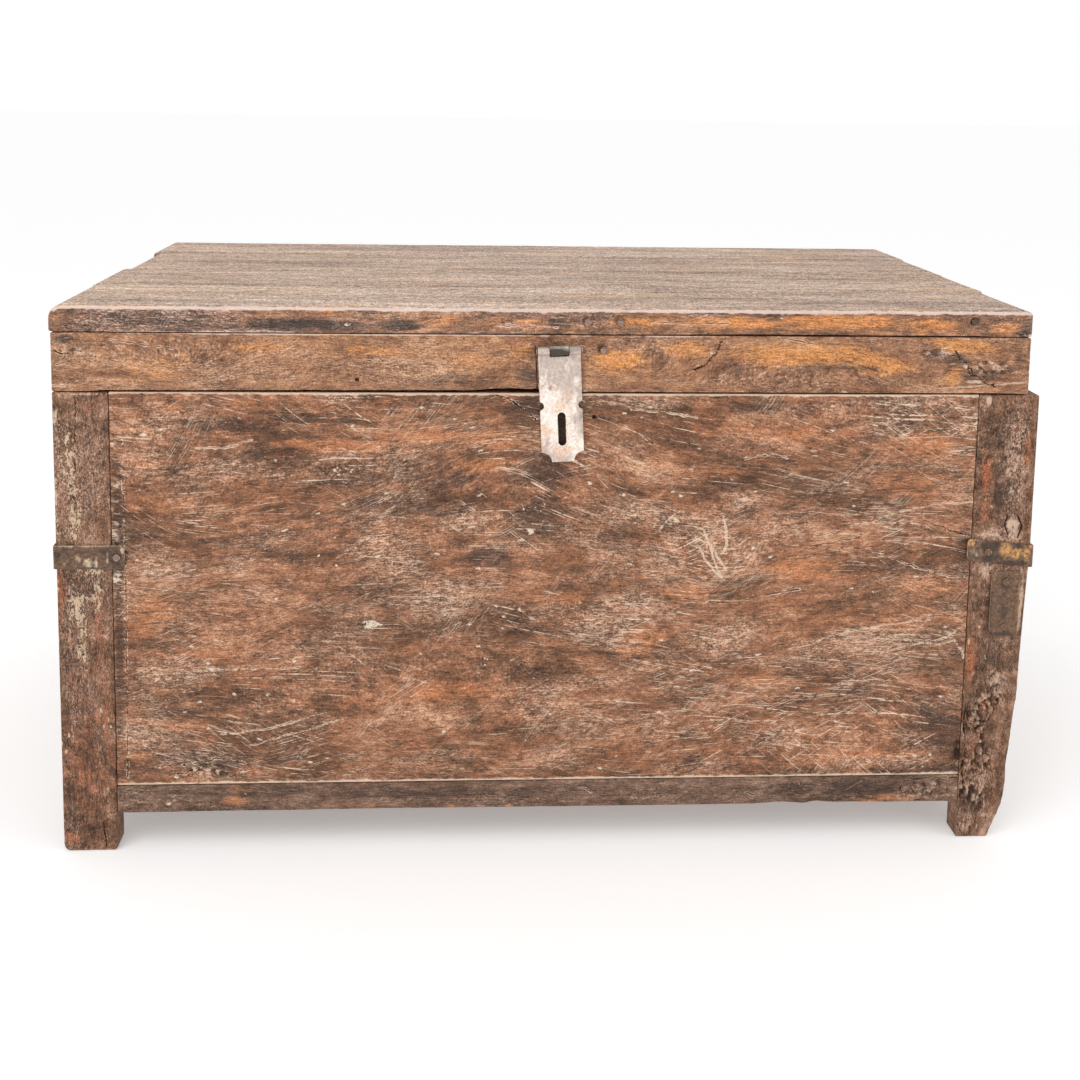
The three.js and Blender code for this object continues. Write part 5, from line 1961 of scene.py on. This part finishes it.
@dataclass
class Lid:
    """Top boards, aprons and the batten under them."""

    tongue: float = 10.0
    boards: int = 4
    board_cell: Cell = (4.0, 3.4, 3.0)
    front_apron_cell: Cell = (3.4, 5.0, 2.4)
    apron_cell: Cell = (8.0, 8.0, 6.0)
    batten_cell: Cell = (8.0, 8.0, 8.0)

    def top_boards(self) -> list[Plank]:
        """Lists the boards of the top, of which the front one shows most wear.

        Returns:
            The boards.
        """
        common = {"body": "lid", "slot": "lid_wood", "run": Axis.X, "finish": LID_WOOD,
                  "cell": self.board_cell, "bleached": 1.0, "waviness": 0.3, "ridges": 0.35}
        made = [Plank("lid_top_board_1", face=FRONT, chips=1.6, chip_share=0.42,
                      tight=(UNDER, BACK, LEFT, RIGHT),
                      rounds=(Round(LEFT, TOP, 14.0), Round(FRONT, TOP, 4.0),
                              Round(RIGHT, TOP, 5.0), Round(LEFT, FRONT, 8.0),
                              Round(RIGHT, FRONT, 5.0)),
                      losses=(Loss(UNDER, BOARD_UNDERSIDE, 6.0, 14.0, 0.3),),
                      stains=BOARD_STAINS, cracks=BOARD_CRACKS, hollows=BOARD_HOLLOWS, **common)]
        for i in range(2, self.boards + 1):
            made.append(Plank(f"lid_top_board_{i}", face=TOP, cracks=TOP_CRACKS.get(i, ()),
                              tight=(UNDER, FRONT, LEFT, RIGHT),
                              rounds=(Round(LEFT, TOP, 5.0), Round(RIGHT, TOP, 4.0)),
                              **common))
        return made

    def aprons(self) -> list[Plank]:
        """Lists the boards of the frame under the top.

        Returns:
            The aprons.
        """
        common = {"body": "lid", "slot": "lid_wood", "finish": APRON_WOOD,
                  "tight": (UNDER, TOP, LEFT, RIGHT)}
        made = [Plank("lid_front_apron", run=Axis.X, face=FRONT, cell=self.front_apron_cell,
                      chips=1.6, worn_arris=1.0, chip_share=0.38,
                      losses=(Loss(UNDER, APRON_UNDERSIDE, 10.0, 16.0, 0.25),),
                      stains=APRON_STAINS, cracks=APRON_CRACKS, hollows=APRON_HOLLOWS,
                      swirls=APRON_SWIRLS, **common)]
        for name, run, face in HIDDEN_SIDES:
            made.append(Plank(f"lid_{name}_apron", run=run, face=face, cell=self.apron_cell,
                              tongue=0.0 if run is Axis.X else self.tongue, **common))
        return made

    def batten(self) -> Plank:
        """The batten across the underside of the boards."""
        return Plank("lid_batten", "lid", "lid_wood", Axis.Y, UNDER, INSIDE_WOOD, self.batten_cell,
                     tongue=self.tongue)

    def build(self) -> None:
        """Builds every board of the lid."""
        for plank in self.top_boards() + self.aprons() + [self.batten()]:
            plank.build()


@dataclass
class Ironwork:
    """Shared making of iron pieces: eased, remeshed finely and dented by the hammer."""

    voxel: float = 0.7
    dents: float = 0.25
    dent_size: float = 7.0

    def forge(self, piece: Piece, finish: IronFinish, marks: tuple[Stain, ...] = (),
              ease: float = 0.5) -> None:
        """Gives a modelled blank its worn surface and finish.

        Args:
            piece: the blank.
            finish: its iron.
            marks: local colours on its front, some of them painted shade and painted highlights.
            ease: the radius of its edges.
        """
        Bench.ease(piece, ease * MM)
        Bench.apply(piece, "REMESH", mode="VOXEL", voxel_size=self.voxel * MM * QUICK_CELL_FACTOR**0.5)
        Bench.apply(piece, "SMOOTH", factor=0.5, iterations=2)
        dents = Noise(piece.name).at(Bench.points(piece), self.dent_size * MM, 3)
        Bench.press(piece, self.dents * dents * MM)
        Bench.smooth(piece, 60.0)
        self.dress(piece, finish, marks)

    def dress(self, piece: Piece, finish: IronFinish, marks: tuple[Stain, ...] = ()) -> None:
        """Keeps the rim and the marks at each point, and gives the piece its finish.

        Args:
            piece: the piece.
            finish: its iron.
            marks: local colours, some of them painted shade and painted highlights, placed in shares of the
                front's width and height.
        """
        points = Bench.points(piece)
        low, high = points.min(0), points.max(0)
        gaps = np.sort(np.minimum(points - low, high - points) / MM, axis=1)
        Bench.attribute(piece, "edge", fade(gaps[:, 1], 1.6, 0.3))
        share = (points - low) / (high - low)
        ragged = Noise(piece.name).at(points, 7 * MM, 3)
        in_front = fade(points[:, 1] - low[1], 9 * MM, 5 * MM)
        for tone in (Tone.RUBBED, Tone.GRIME, Tone.DUST):
            covers = [mark.cover(share[:, 0], share[:, 2], ragged) for mark in marks if mark.tone is tone]
            cover = np.max(covers, axis=0) * in_front if covers else np.zeros(len(points))
            Bench.attribute(piece, tone.value, cover)
        coat(piece, finish.name)


@dataclass
class CornerStraps(Ironwork):
    """Four straps bent round the corners, and the repair plate under the front right one."""

    thickness: float = 2.0
    end_round: float = 5.0
    bend_round: float = 1.5
    slope: float = 5.7
    slope_run: float = 69.0
    plate_round: float = 9.0

    def strap(self, end: str, side: Side) -> None:
        """Models one strap: a leg on the face and a leg round the side.

        Args:
            end: front or rear.
            side: the side that it reaches round.
        """
        node = f"{end}_{side.word}_strap"
        low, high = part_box(node)
        thickness = self.thickness * MM
        front = end == "front"
        leg_low, leg_high = low.copy(), high.copy()
        rise = 0.0
        if front and side is RIGHT:
            rise = self.slope_run * MM * math.tan(math.radians(self.slope))
        leg_high.z = high.z - rise
        if front:
            leg_high.y = low.y + thickness
        else:
            leg_low.y = high.y - thickness
        piece = Bench.box(node + "_iron", leg_low, leg_high)
        corner_x = (high.x - thickness) if side is RIGHT else (low.x + thickness)
        everything = np.ones(len(piece.data.vertices), bool)
        Bench.edit(piece, Element.VERTEX, everything, bpy.ops.mesh.bisect,
                   plane_co=(corner_x, 0, 0), plane_no=(1, 0, 0))
        middles, normals = Bench.faces(piece)
        inward = 1 if front else -1
        back = ((middles[:, 0] - corner_x) * side.way > 0) & (normals[:, 1] * inward > FACING)
        Bench.edit(piece, Element.FACE, back, bpy.ops.mesh.extrude_region_move,
                   TRANSFORM_OT_translate={"value": (0, inward * (high.y - low.y - thickness), 0)})
        if rise:
            free = np.abs(Bench.points(piece)[:, 0] - low.x) < SAME
            Bench.edit(piece, Element.VERTEX, free, bpy.ops.transform.translate, value=(0, 0, rise))
        self.round_ends(piece, side, front, low, high)
        self.forge(piece, STRAP_IRON, STRAP_STAINS_AND_EDGE_LIGHT.get(node, ()))
        place(piece, "chest", "strap_iron", node)

    def round_ends(self, piece: Piece, side: Side, front: bool, low: Vector, high: Vector) -> None:
        """Rounds the corners of both free ends, and the bend.

        Args:
            piece: the strap.
            side: the side that it reaches round.
            front: whether it is on the front.
            low: the strap's lowest corner.
            high: its highest corner.
        """
        free_x, bend_x = (low.x, high.x) if side is RIGHT else (high.x, low.x)
        free_y, bend_y = (high.y, low.y) if front else (low.y, high.y)
        start, end = Bench.edge_ends(piece)
        run = np.abs(end - start)
        across = Bench.edges_at(piece, Axis.X, free_x) & (run[:, 1] > SHORT)
        across |= Bench.edges_at(piece, Axis.Y, free_y) & (run[:, 0] > SHORT)
        Bench.bevel(piece, across, self.end_round * MM, 5)
        bend = Bench.edges_at(piece, Axis.X, bend_x) & Bench.edges_at(piece, Axis.Y, bend_y)
        Bench.bevel(piece, bend, self.bend_round * MM, 3)

    def plate(self) -> None:
        """The plate with two rounded lower corners."""
        low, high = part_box("repair_plate")
        piece = Bench.box("repair_plate_iron", low, high)
        start, end = Bench.edge_ends(piece)
        lower = Bench.edges_at(piece, Axis.Z, low.z) & (np.abs(end - start)[:, 1] > SHORT)
        Bench.bevel(piece, lower, self.plate_round * MM, 6)
        self.forge(piece, PLATE_IRON, PLATE_STAINS_AND_SHADOW)
        place(piece, "chest", "strap_iron", "repair_plate")

    def build(self) -> None:
        """Builds the straps and the plate."""
        for end in ("front", "rear"):
            for side in (LEFT, RIGHT):
                self.strap(end, side)
        self.plate()


@dataclass
class Nails(Ironwork):
    """Hand-made nails: one is modelled, and the rest are copies."""

    head_radius: float = 4.0
    head_height: float = 1.4
    head_sides: int = 18
    rim_drop: float = 0.7
    crown: tuple[Point, ...] = ((1.3, 0.0), (1.3, -0.35), (0.9, 0.10))
    shank_radius: float = 1.6
    length: float = 20.0
    battered: float = 1.0

    def model(self) -> Piece:
        """One nail that points down, with the seat of its head at the origin.

        Returns:
            The nail.
        """
        top = self.head_height * MM
        piece = Bench.rod("nail_model", self.head_radius * MM, (0, 0, 0), (0, 0, top), self.head_sides)
        for inset, lift in self.crown:
            Bench.edit(piece, Element.FACE, self.cap(piece, 1), bpy.ops.mesh.inset, thickness=inset * MM,
                       depth=lift * MM)
        points = Bench.points(piece)
        rim = (np.hypot(points[:, 0], points[:, 1]) > 0.9 * self.head_radius * MM)
        rim &= points[:, 2] > 0.5 * top
        Bench.edit(piece, Element.VERTEX, rim, bpy.ops.transform.translate,
                   value=(0, 0, -self.rim_drop * MM))
        Bench.edit(piece, Element.FACE, self.cap(piece, -1), bpy.ops.mesh.inset,
                   thickness=(self.head_radius - self.shank_radius) * MM, depth=0.0)
        Bench.edit(piece, Element.FACE, self.cap(piece, -1), bpy.ops.mesh.extrude_region_move,
                   TRANSFORM_OT_translate={"value": (0, 0, -self.length * MM)})
        Bench.apply(piece, "SUBSURF", levels=2, render_levels=2)
        return piece

    @staticmethod
    def cap(piece: Piece, way: int) -> Array:
        """Marks the middle face that looks up, or down where way is -1."""
        middles, normals = Bench.faces(piece)
        return (normals[:, 2] * way > FACING) & (np.hypot(middles[:, 0], middles[:, 1]) < SAME)

    def drive(self, model: Piece, node: str, body: str, out: Side, finish: IronFinish) -> None:
        """Copies the model to a nail's place, with its own turn and dents.

        Args:
            model: the nail that is copied.
            node: the CAD nail that it stands for.
            body: the body that it rides on.
            out: the side that its head looks to.
            finish: its iron.
        """
        low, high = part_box(node)
        noise = Noise(node)
        spin = Matrix.Rotation(noise.seed * 0.7, 4, "Z")
        aim = out.outward.to_track_quat("Z", "Y").to_matrix().to_4x4()
        seat = (low + high) / 2
        outer = high[out.axis] if out.way > 0 else low[out.axis]
        seat[out.axis] = outer - out.way * self.head_height * MM
        piece = Bench.copy(model, node + "_iron")
        piece.data.transform(Matrix.Translation(seat) @ aim @ spin)
        Bench.press(piece, self.battered * noise.at(Bench.points(piece), 4 * MM, 2) * MM)
        Bench.smooth(piece, 50.0)
        self.dress(piece, finish, NAIL_MARKS if body == "lid" else ())
        place(piece, body, "nail_iron", node)

    def build(self) -> None:
        """Drives every nail that shows."""
        model = self.model()
        nails = {}
        for end, out in (("front", FRONT), ("rear", BACK)):
            for side in (LEFT, RIGHT):
                nails[f"{end}_{side.word}_strap_face_nail"] = ("chest", out)
                nails[f"{end}_{side.word}_strap_side_nail"] = ("chest", side)
        for node in ("plate_upper_nail", "plate_lower_nail"):
            nails[node] = ("chest", FRONT)
        for node in ("lid_board_nail_1", "lid_board_nail_2", "lid_apron_nail", "lid_sunk_nail"):
            nails[node] = ("lid", FRONT)
        finishes = {"plate_upper_nail": PLATE_IRON, "plate_lower_nail": PLATE_IRON,
                    "front_right_strap_face_nail": STRAP_IRON, "lid_sunk_nail": HINGE_IRON}
        for node, (body, out) in nails.items():
            self.drive(model, node, body, out, finishes.get(node, NAIL_IRON))
        bpy.data.objects.remove(model)


@dataclass
class RearHinges(Ironwork):
    """Two butt hinges on the back: a leaf on the lid, a leaf on the chest and a riveted pin."""

    leaf_thickness: float = 2.0
    barrel_radius: float = 5.0
    middle_share: float = 0.36
    gap: float = 0.3
    rivet_height: float = 1.2
    nail_radius: float = 3.2
    nail_height: float = 0.9
    nail_inset: float = 1.6
    outer_nails: Point = (8.0, 8.0)
    inner_nails: Point = (20.0, 15.0)

    def knuckles(self, low_x: float, high_x: float) -> dict[str, list[Point]]:
        """Shares the barrel out between the leaves.

        Args:
            low_x: where the barrel starts.
            high_x: where it ends.

        Returns:
            The stretches that belong to each body's leaf.
        """
        middle, half = (low_x + high_x) / 2, (high_x - low_x) * self.middle_share / 2
        gap = self.gap * MM
        return {"lid": [(middle - half, middle + half)],
                "chest": [(low_x, middle - half - gap), (middle + half + gap, high_x)]}

    def leaf(self, side: str, owner: str, axis_y: float, axis_z: float) -> None:
        """Models one leaf with its share of the barrel.

        Args:
            side: left or right.
            owner: the body that it is nailed to.
            axis_y: the pin's place from front to back.
            axis_z: the pin's height.
        """
        node = f"{side}_hinge_{owner}_leaf"
        low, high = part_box(node)
        plate_low, plate_high = low.copy(), high.copy()
        plate_high.y = low.y + self.leaf_thickness * MM
        if owner == "lid":
            plate_low.z = axis_z
        else:
            plate_high.z = axis_z
        piece = Bench.box(node + "_iron", plate_low, plate_high)
        radius, gap = self.barrel_radius * MM, self.gap * MM
        ranges = self.knuckles(low.x, high.x)
        other = "chest" if owner == "lid" else "lid"
        for start, end in ranges[other]:
            Bench.cut(piece, Bench.rod("clear", radius + 2 * gap, (start - gap, axis_y, axis_z),
                                       (end + gap, axis_y, axis_z)))
        for start, end in ranges[owner]:
            Bench.cut(piece, Bench.rod("knuckle", radius, (start, axis_y, axis_z), (end, axis_y, axis_z)),
                      "UNION")
        Bench.ease(piece, 0.4 * MM)
        Bench.smooth(piece)
        self.dress(piece, HINGE_IRON)
        place(piece, owner, "hinge_iron", node)
        self.leaf_nails(side, owner, plate_low, plate_high)

    def leaf_nails(self, side: str, owner: str, low: Vector, high: Vector) -> None:
        """Puts four low nail heads on a leaf.

        Args:
            side: left or right.
            owner: the body that the leaf is nailed to.
            low: the leaf's lowest corner.
            high: its highest corner.
        """
        way, far, near = (1, high.z, low.z) if owner == "lid" else (-1, low.z, high.z)
        spots = []
        for (in_x, in_z), edge, inward in ((self.outer_nails, far, -way), (self.inner_nails, near, way)):
            spots += [(x, edge + inward * in_z * MM) for x in (low.x + in_x * MM, high.x - in_x * MM)]
        for i, (x, z) in enumerate(spots, 1):
            head = Bench.rod(f"{side}_hinge_{owner}_nail_{i}", self.nail_radius * MM,
                             (x, high.y - 1 * MM, z), (x, high.y + self.nail_height * MM, z), 20)
            _, normals = Bench.faces(head)
            Bench.edit(head, Element.FACE, normals[:, 1] > FACING, bpy.ops.mesh.inset,
                       thickness=self.nail_inset * MM, depth=0.3 * MM)
            Bench.ease(head, 0.35 * MM, 2, 20)
            Bench.smooth(head)
            self.dress(head, HINGE_IRON)
            place(head, owner, "nail_iron")

    def pin(self, side: str) -> None:
        """Models a pin with both ends riveted over.

        Args:
            side: left or right.
        """
        node = f"{side}_hinge_pin"
        low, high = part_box(node)
        y, z = (low.y + high.y) / 2, (low.z + high.z) / 2
        radius = (high.z - low.z) / 2
        head = self.rivet_height * MM
        piece = Bench.rod(node + "_iron", radius - 1 * MM, (low.x + head, y, z), (high.x - head, y, z), 24)
        for start, end in ((low.x, low.x + head), (high.x - head, high.x)):
            Bench.cut(piece, Bench.rod("rivet", radius, (start, y, z), (end, y, z), 24), "UNION")
        Bench.ease(piece, 0.5 * MM, 3)
        Bench.smooth(piece)
        self.dress(piece, HINGE_IRON)
        place(piece, "chest", "hinge_iron", node)

    def build(self) -> None:
        """Builds both hinges."""
        for side in ("left", "right"):
            low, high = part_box(f"{side}_hinge_pin")
            axis_y, axis_z = (low.y + high.y) / 2, (low.z + high.z) / 2
            for owner in ("chest", "lid"):
                self.leaf(side, owner, axis_y, axis_z)
            self.pin(side)


@dataclass
class Hasp(Ironwork):
    """A slotted strap that swings on a pin, and the leaf that holds it, hung a little out of true."""

    tilt: float = 3.0
    width: float = 42.0
    drop: float = 111.5
    thickness: float = 2.0
    barrel_radius: float = 4.5
    middle: float = 18.4
    window: float = 6.0
    notch_drop: float = 55.0
    notch_radius: float = 4.0
    corner_radius: float = 10.0
    slot_top: float = 62.0
    slot_width: float = 7.5
    slot_length: float = 33.0
    leaf_width: float = 34.0
    leaf_drop: float = 40.0
    leaf_thickness: float = 1.6
    leaf_gap: float = 0.4
    pin_radius: float = 2.0
    gap: float = 0.3
    bore_play: float = 0.1
    rivet: Point = (1.2, 0.9)
    cutter_reach: float = 20.0
    sides: int = 40
    voxel: float = 0.55
    dents: float = 0.22

    def hang(self, piece: Piece) -> None:
        """Turns a piece from its own upright frame to its place on the lid.

        Args:
            piece: the piece.
        """
        low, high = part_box("hasp_pin")
        piece.rotation_euler = (0, -math.radians(self.tilt), 0)
        piece.location = (low + high) / 2
        Bench.activate(piece)
        bpy.ops.object.transform_apply(location=True, rotation=True, scale=True)

    def slab(self, name: str, x: Point, y: Point, z: Point) -> Piece:
        """A box between limits in millimetres, in the hasp's own frame."""
        low, high = (Vector(corner) * MM for corner in zip(x, y, z))
        return Bench.box(name, low, high)

    def across(self, name: str, radius: float, x: float, z: float) -> Piece:
        """A rod through the strap from front to back."""
        deep = self.cutter_reach * MM
        return Bench.rod(name, radius * MM, (x * MM, -deep, z * MM), (x * MM, deep, z * MM), self.sides)

    def barrel(self, name: str, radius: float, x: Point) -> Piece:
        """A rod along the pin."""
        return Bench.rod(name, radius * MM, (x[0] * MM, 0, 0), (x[1] * MM, 0, 0), self.sides)

    def strap(self) -> None:
        """The swinging strap with its notches, slot and outer knuckles."""
        half = self.width / 2
        back = self.barrel_radius - self.leaf_thickness - self.leaf_gap
        deep = (-self.cutter_reach, self.cutter_reach)
        piece = self.slab("hasp_strap_steel", (-half, half), (back - self.thickness, back),
                          (-self.drop, 0))
        for x in (-half, half):
            Bench.cut(piece, self.across("notch", self.notch_radius, x, -self.notch_drop))
            Bench.cut(piece, self.across("corner", self.corner_radius, x, -self.drop))
        slot_half = self.slot_width / 2
        ends = (-self.slot_top - slot_half, -self.slot_top - self.slot_length + slot_half)
        Bench.cut(piece, self.slab("slot", (-slot_half, slot_half), deep, (ends[1], ends[0])))
        for z in ends:
            Bench.cut(piece, self.across("slot_end", slot_half, 0, z))
        clear = self.middle / 2 + self.gap
        Bench.cut(piece, self.slab("window", (-clear, clear), deep, (-self.window, 5)))
        for x in ((-half, -clear), (clear, half)):
            Bench.cut(piece, self.barrel("knuckle", self.barrel_radius, x), "UNION")
        Bench.cut(piece, self.barrel("bore", self.pin_radius + self.bore_play, (-half - 2, half + 2)))
        self.hang(piece)
        self.forge(piece, HASP_STEEL, HASP_MARKS, 0.45)
        place(piece, "hasp", "hasp_steel", "hasp_strap")

    def leaf(self) -> None:
        """The fixed leaf behind the strap, with the middle knuckle."""
        half = self.leaf_width / 2
        front = self.barrel_radius - self.leaf_thickness
        piece = self.slab("hasp_leaf_steel", (-half, half), (front, self.barrel_radius),
                          (-self.leaf_drop, 0))
        clear = self.middle / 2 + self.gap
        for x in ((-half - 5, -clear + self.gap), (clear - self.gap, half + 5)):
            Bench.cut(piece, self.barrel("clear", self.barrel_radius + 2 * self.gap, x))
        Bench.cut(piece, self.barrel("knuckle", self.barrel_radius, (-self.middle / 2, self.middle / 2)),
                  "UNION")
        self.hang(piece)
        Bench.ease(piece, 0.3 * MM)
        Bench.smooth(piece)
        self.dress(piece, PIN_STEEL, KNUCKLE_SHADE_AND_HIGHLIGHT)
        place(piece, "lid", "hasp_steel", "hasp_leaf")

    def pin(self) -> None:
        """The pin with its riveted ends."""
        half = self.width / 2 + self.gap
        piece = self.barrel("hasp_pin_steel", self.pin_radius, (-half, half))
        length, rim = self.rivet
        for x in ((-half - length, -half), (half, half + length)):
            Bench.cut(piece, self.barrel("rivet", self.pin_radius + rim, x), "UNION")
        self.hang(piece)
        Bench.ease(piece, 0.4 * MM, 3)
        Bench.smooth(piece)
        self.dress(piece, PIN_STEEL)
        place(piece, "lid", "hasp_steel", "hasp_pin")

    def build(self) -> None:
        """Builds the strap, the leaf and the pin."""
        self.strap()
        self.leaf()
        self.pin()


@dataclass
class Studio:
    """A plain pale floor, soft light and the camera."""

    camera_place: Place = (-0.09356, -1.56978, 0.75912)
    yaw: float = 3.3416
    pitch: float = 6.9574
    roll: float = 0.9273
    focal_pixels: float = 1352.2
    middle_row: float = 258.86
    frame_pixels: float = 1080.0
    sensor: float = 36.0
    floor_lift: float = 0.26
    floor_size: float = 80.0
    floor_drop: float = 0.0004
    floor_colour: tuple[float, float, float, float] = (0.9, 0.9, 0.9, 1.0)
    white: tuple[float, float, float, float] = (1.0, 1.0, 1.0, 1.0)
    sky_strength: float = 0.80
    aim: Place = (0.0, 0.0, 0.3)

    def floor(self) -> None:
        """A wide pale floor that keeps the shadow."""
        bpy.ops.object.select_all(action="DESELECT")
        bpy.ops.mesh.primitive_plane_add(size=self.floor_size, location=(0, 0, -self.floor_drop))
        floor = Bench.named("floor")
        paint = Paint("floor_pale")
        shader = paint.node("ShaderNodeBsdfPrincipled", {}, {
            "Base Color": self.floor_colour, "Roughness": 1.0, "Specular IOR Level": 0.0,
            "Emission Color": self.white, "Emission Strength": self.floor_lift})
        paint.node("ShaderNodeOutputMaterial", {}, {"Surface": shader.outputs[0]})
        floor.data.materials.append(paint.material)

    def sky(self) -> None:
        """An even white world, white to the camera."""
        world = bpy.data.worlds.new("studio_white")
        bpy.context.scene.world = world
        world.use_nodes = True
        tree = world.node_tree
        tree.nodes.clear()
        path = tree.nodes.new("ShaderNodeLightPath")
        seen = tree.nodes.new("ShaderNodeMath")
        seen.operation = "MAXIMUM"
        tree.links.new(path.outputs["Is Camera Ray"], seen.inputs[0])
        tree.links.new(path.outputs["Is Glossy Ray"], seen.inputs[1])
        strength = tree.nodes.new("ShaderNodeMapRange")
        strength.inputs["To Min"].default_value = self.sky_strength
        strength.inputs["To Max"].default_value = 1.0
        tree.links.new(seen.outputs[0], strength.inputs["Value"])
        shade = tree.nodes.new("ShaderNodeBackground")
        shade.inputs["Color"].default_value = self.white
        tree.links.new(strength.outputs[0], shade.inputs["Strength"])
        out = tree.nodes.new("ShaderNodeOutputWorld")
        tree.links.new(shade.outputs[0], out.inputs["Surface"])

    def lamp(self, name: str, watts: float, size: float, where: Place) -> None:
        """Hangs one soft square lamp aimed at the chest.

        Args:
            name: the lamp's name.
            watts: its power.
            size: its width in metres.
            where: its place.
        """
        light = bpy.data.lights.new(name, "AREA")
        light.energy, light.size = watts, size
        holder = bpy.data.objects.new(name, light)
        bpy.context.scene.collection.objects.link(holder)
        holder.location = where
        way = Vector(self.aim) - Vector(where)
        holder.rotation_euler = way.to_track_quat("-Z", "Y").to_euler()

    def camera(self) -> None:
        """The camera at the photograph's viewing angle."""
        data = bpy.data.cameras.new("camera")
        camera = bpy.data.objects.new("camera", data)
        bpy.context.scene.collection.objects.link(camera)
        yaw, pitch, roll = (math.radians(angle) for angle in (self.yaw, self.pitch, self.roll))
        forward = Vector((math.sin(yaw) * math.cos(pitch), math.cos(yaw) * math.cos(pitch),
                          -math.sin(pitch)))
        level = Vector((math.cos(yaw), -math.sin(yaw), 0.0))
        above = level.cross(forward)
        right = level * math.cos(roll) + above * math.sin(roll)
        up = -level * math.sin(roll) + above * math.cos(roll)
        turn = Matrix((right, up, -forward)).transposed()
        camera.matrix_world = Matrix.Translation(self.camera_place) @ turn.to_4x4()
        data.sensor_width = self.sensor
        data.lens = self.focal_pixels / self.frame_pixels * self.sensor
        data.shift_y = (self.middle_row - self.frame_pixels / 2) / self.frame_pixels
        bpy.context.scene.camera = camera

    def build(self) -> None:
        """Sets the scene round the chest."""
        bpy.context.scene.view_settings.view_transform = "Standard"
        self.camera()
        self.floor()
        self.sky()
        self.lamp("lamp_above_left", 22.0, 1.6, (-1.3, -1.9, 2.3))
        self.lamp("lamp_right", 7.0, 1.4, (2.0, -1.2, 1.4))


def main() -> None:
    """Builds the chest in order: finishes, body, lid, ironwork and studio."""
    logging.basicConfig(level=logging.INFO, format="%(message)s")
    mix_finishes()
    for assembly in (Studio(), Carcass(), Lid(), CornerStraps(), Nails(), RearHinges(), Hasp()):
        log.info("Building %s", type(assembly).__name__)
        assembly.build()
    for node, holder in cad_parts.items():
        if not holder.hide_render:
            coat(holder, NAIL_IRON.name)
            log.info("%s keeps its CAD shape", node)


if __name__ == "__main__":
    main()
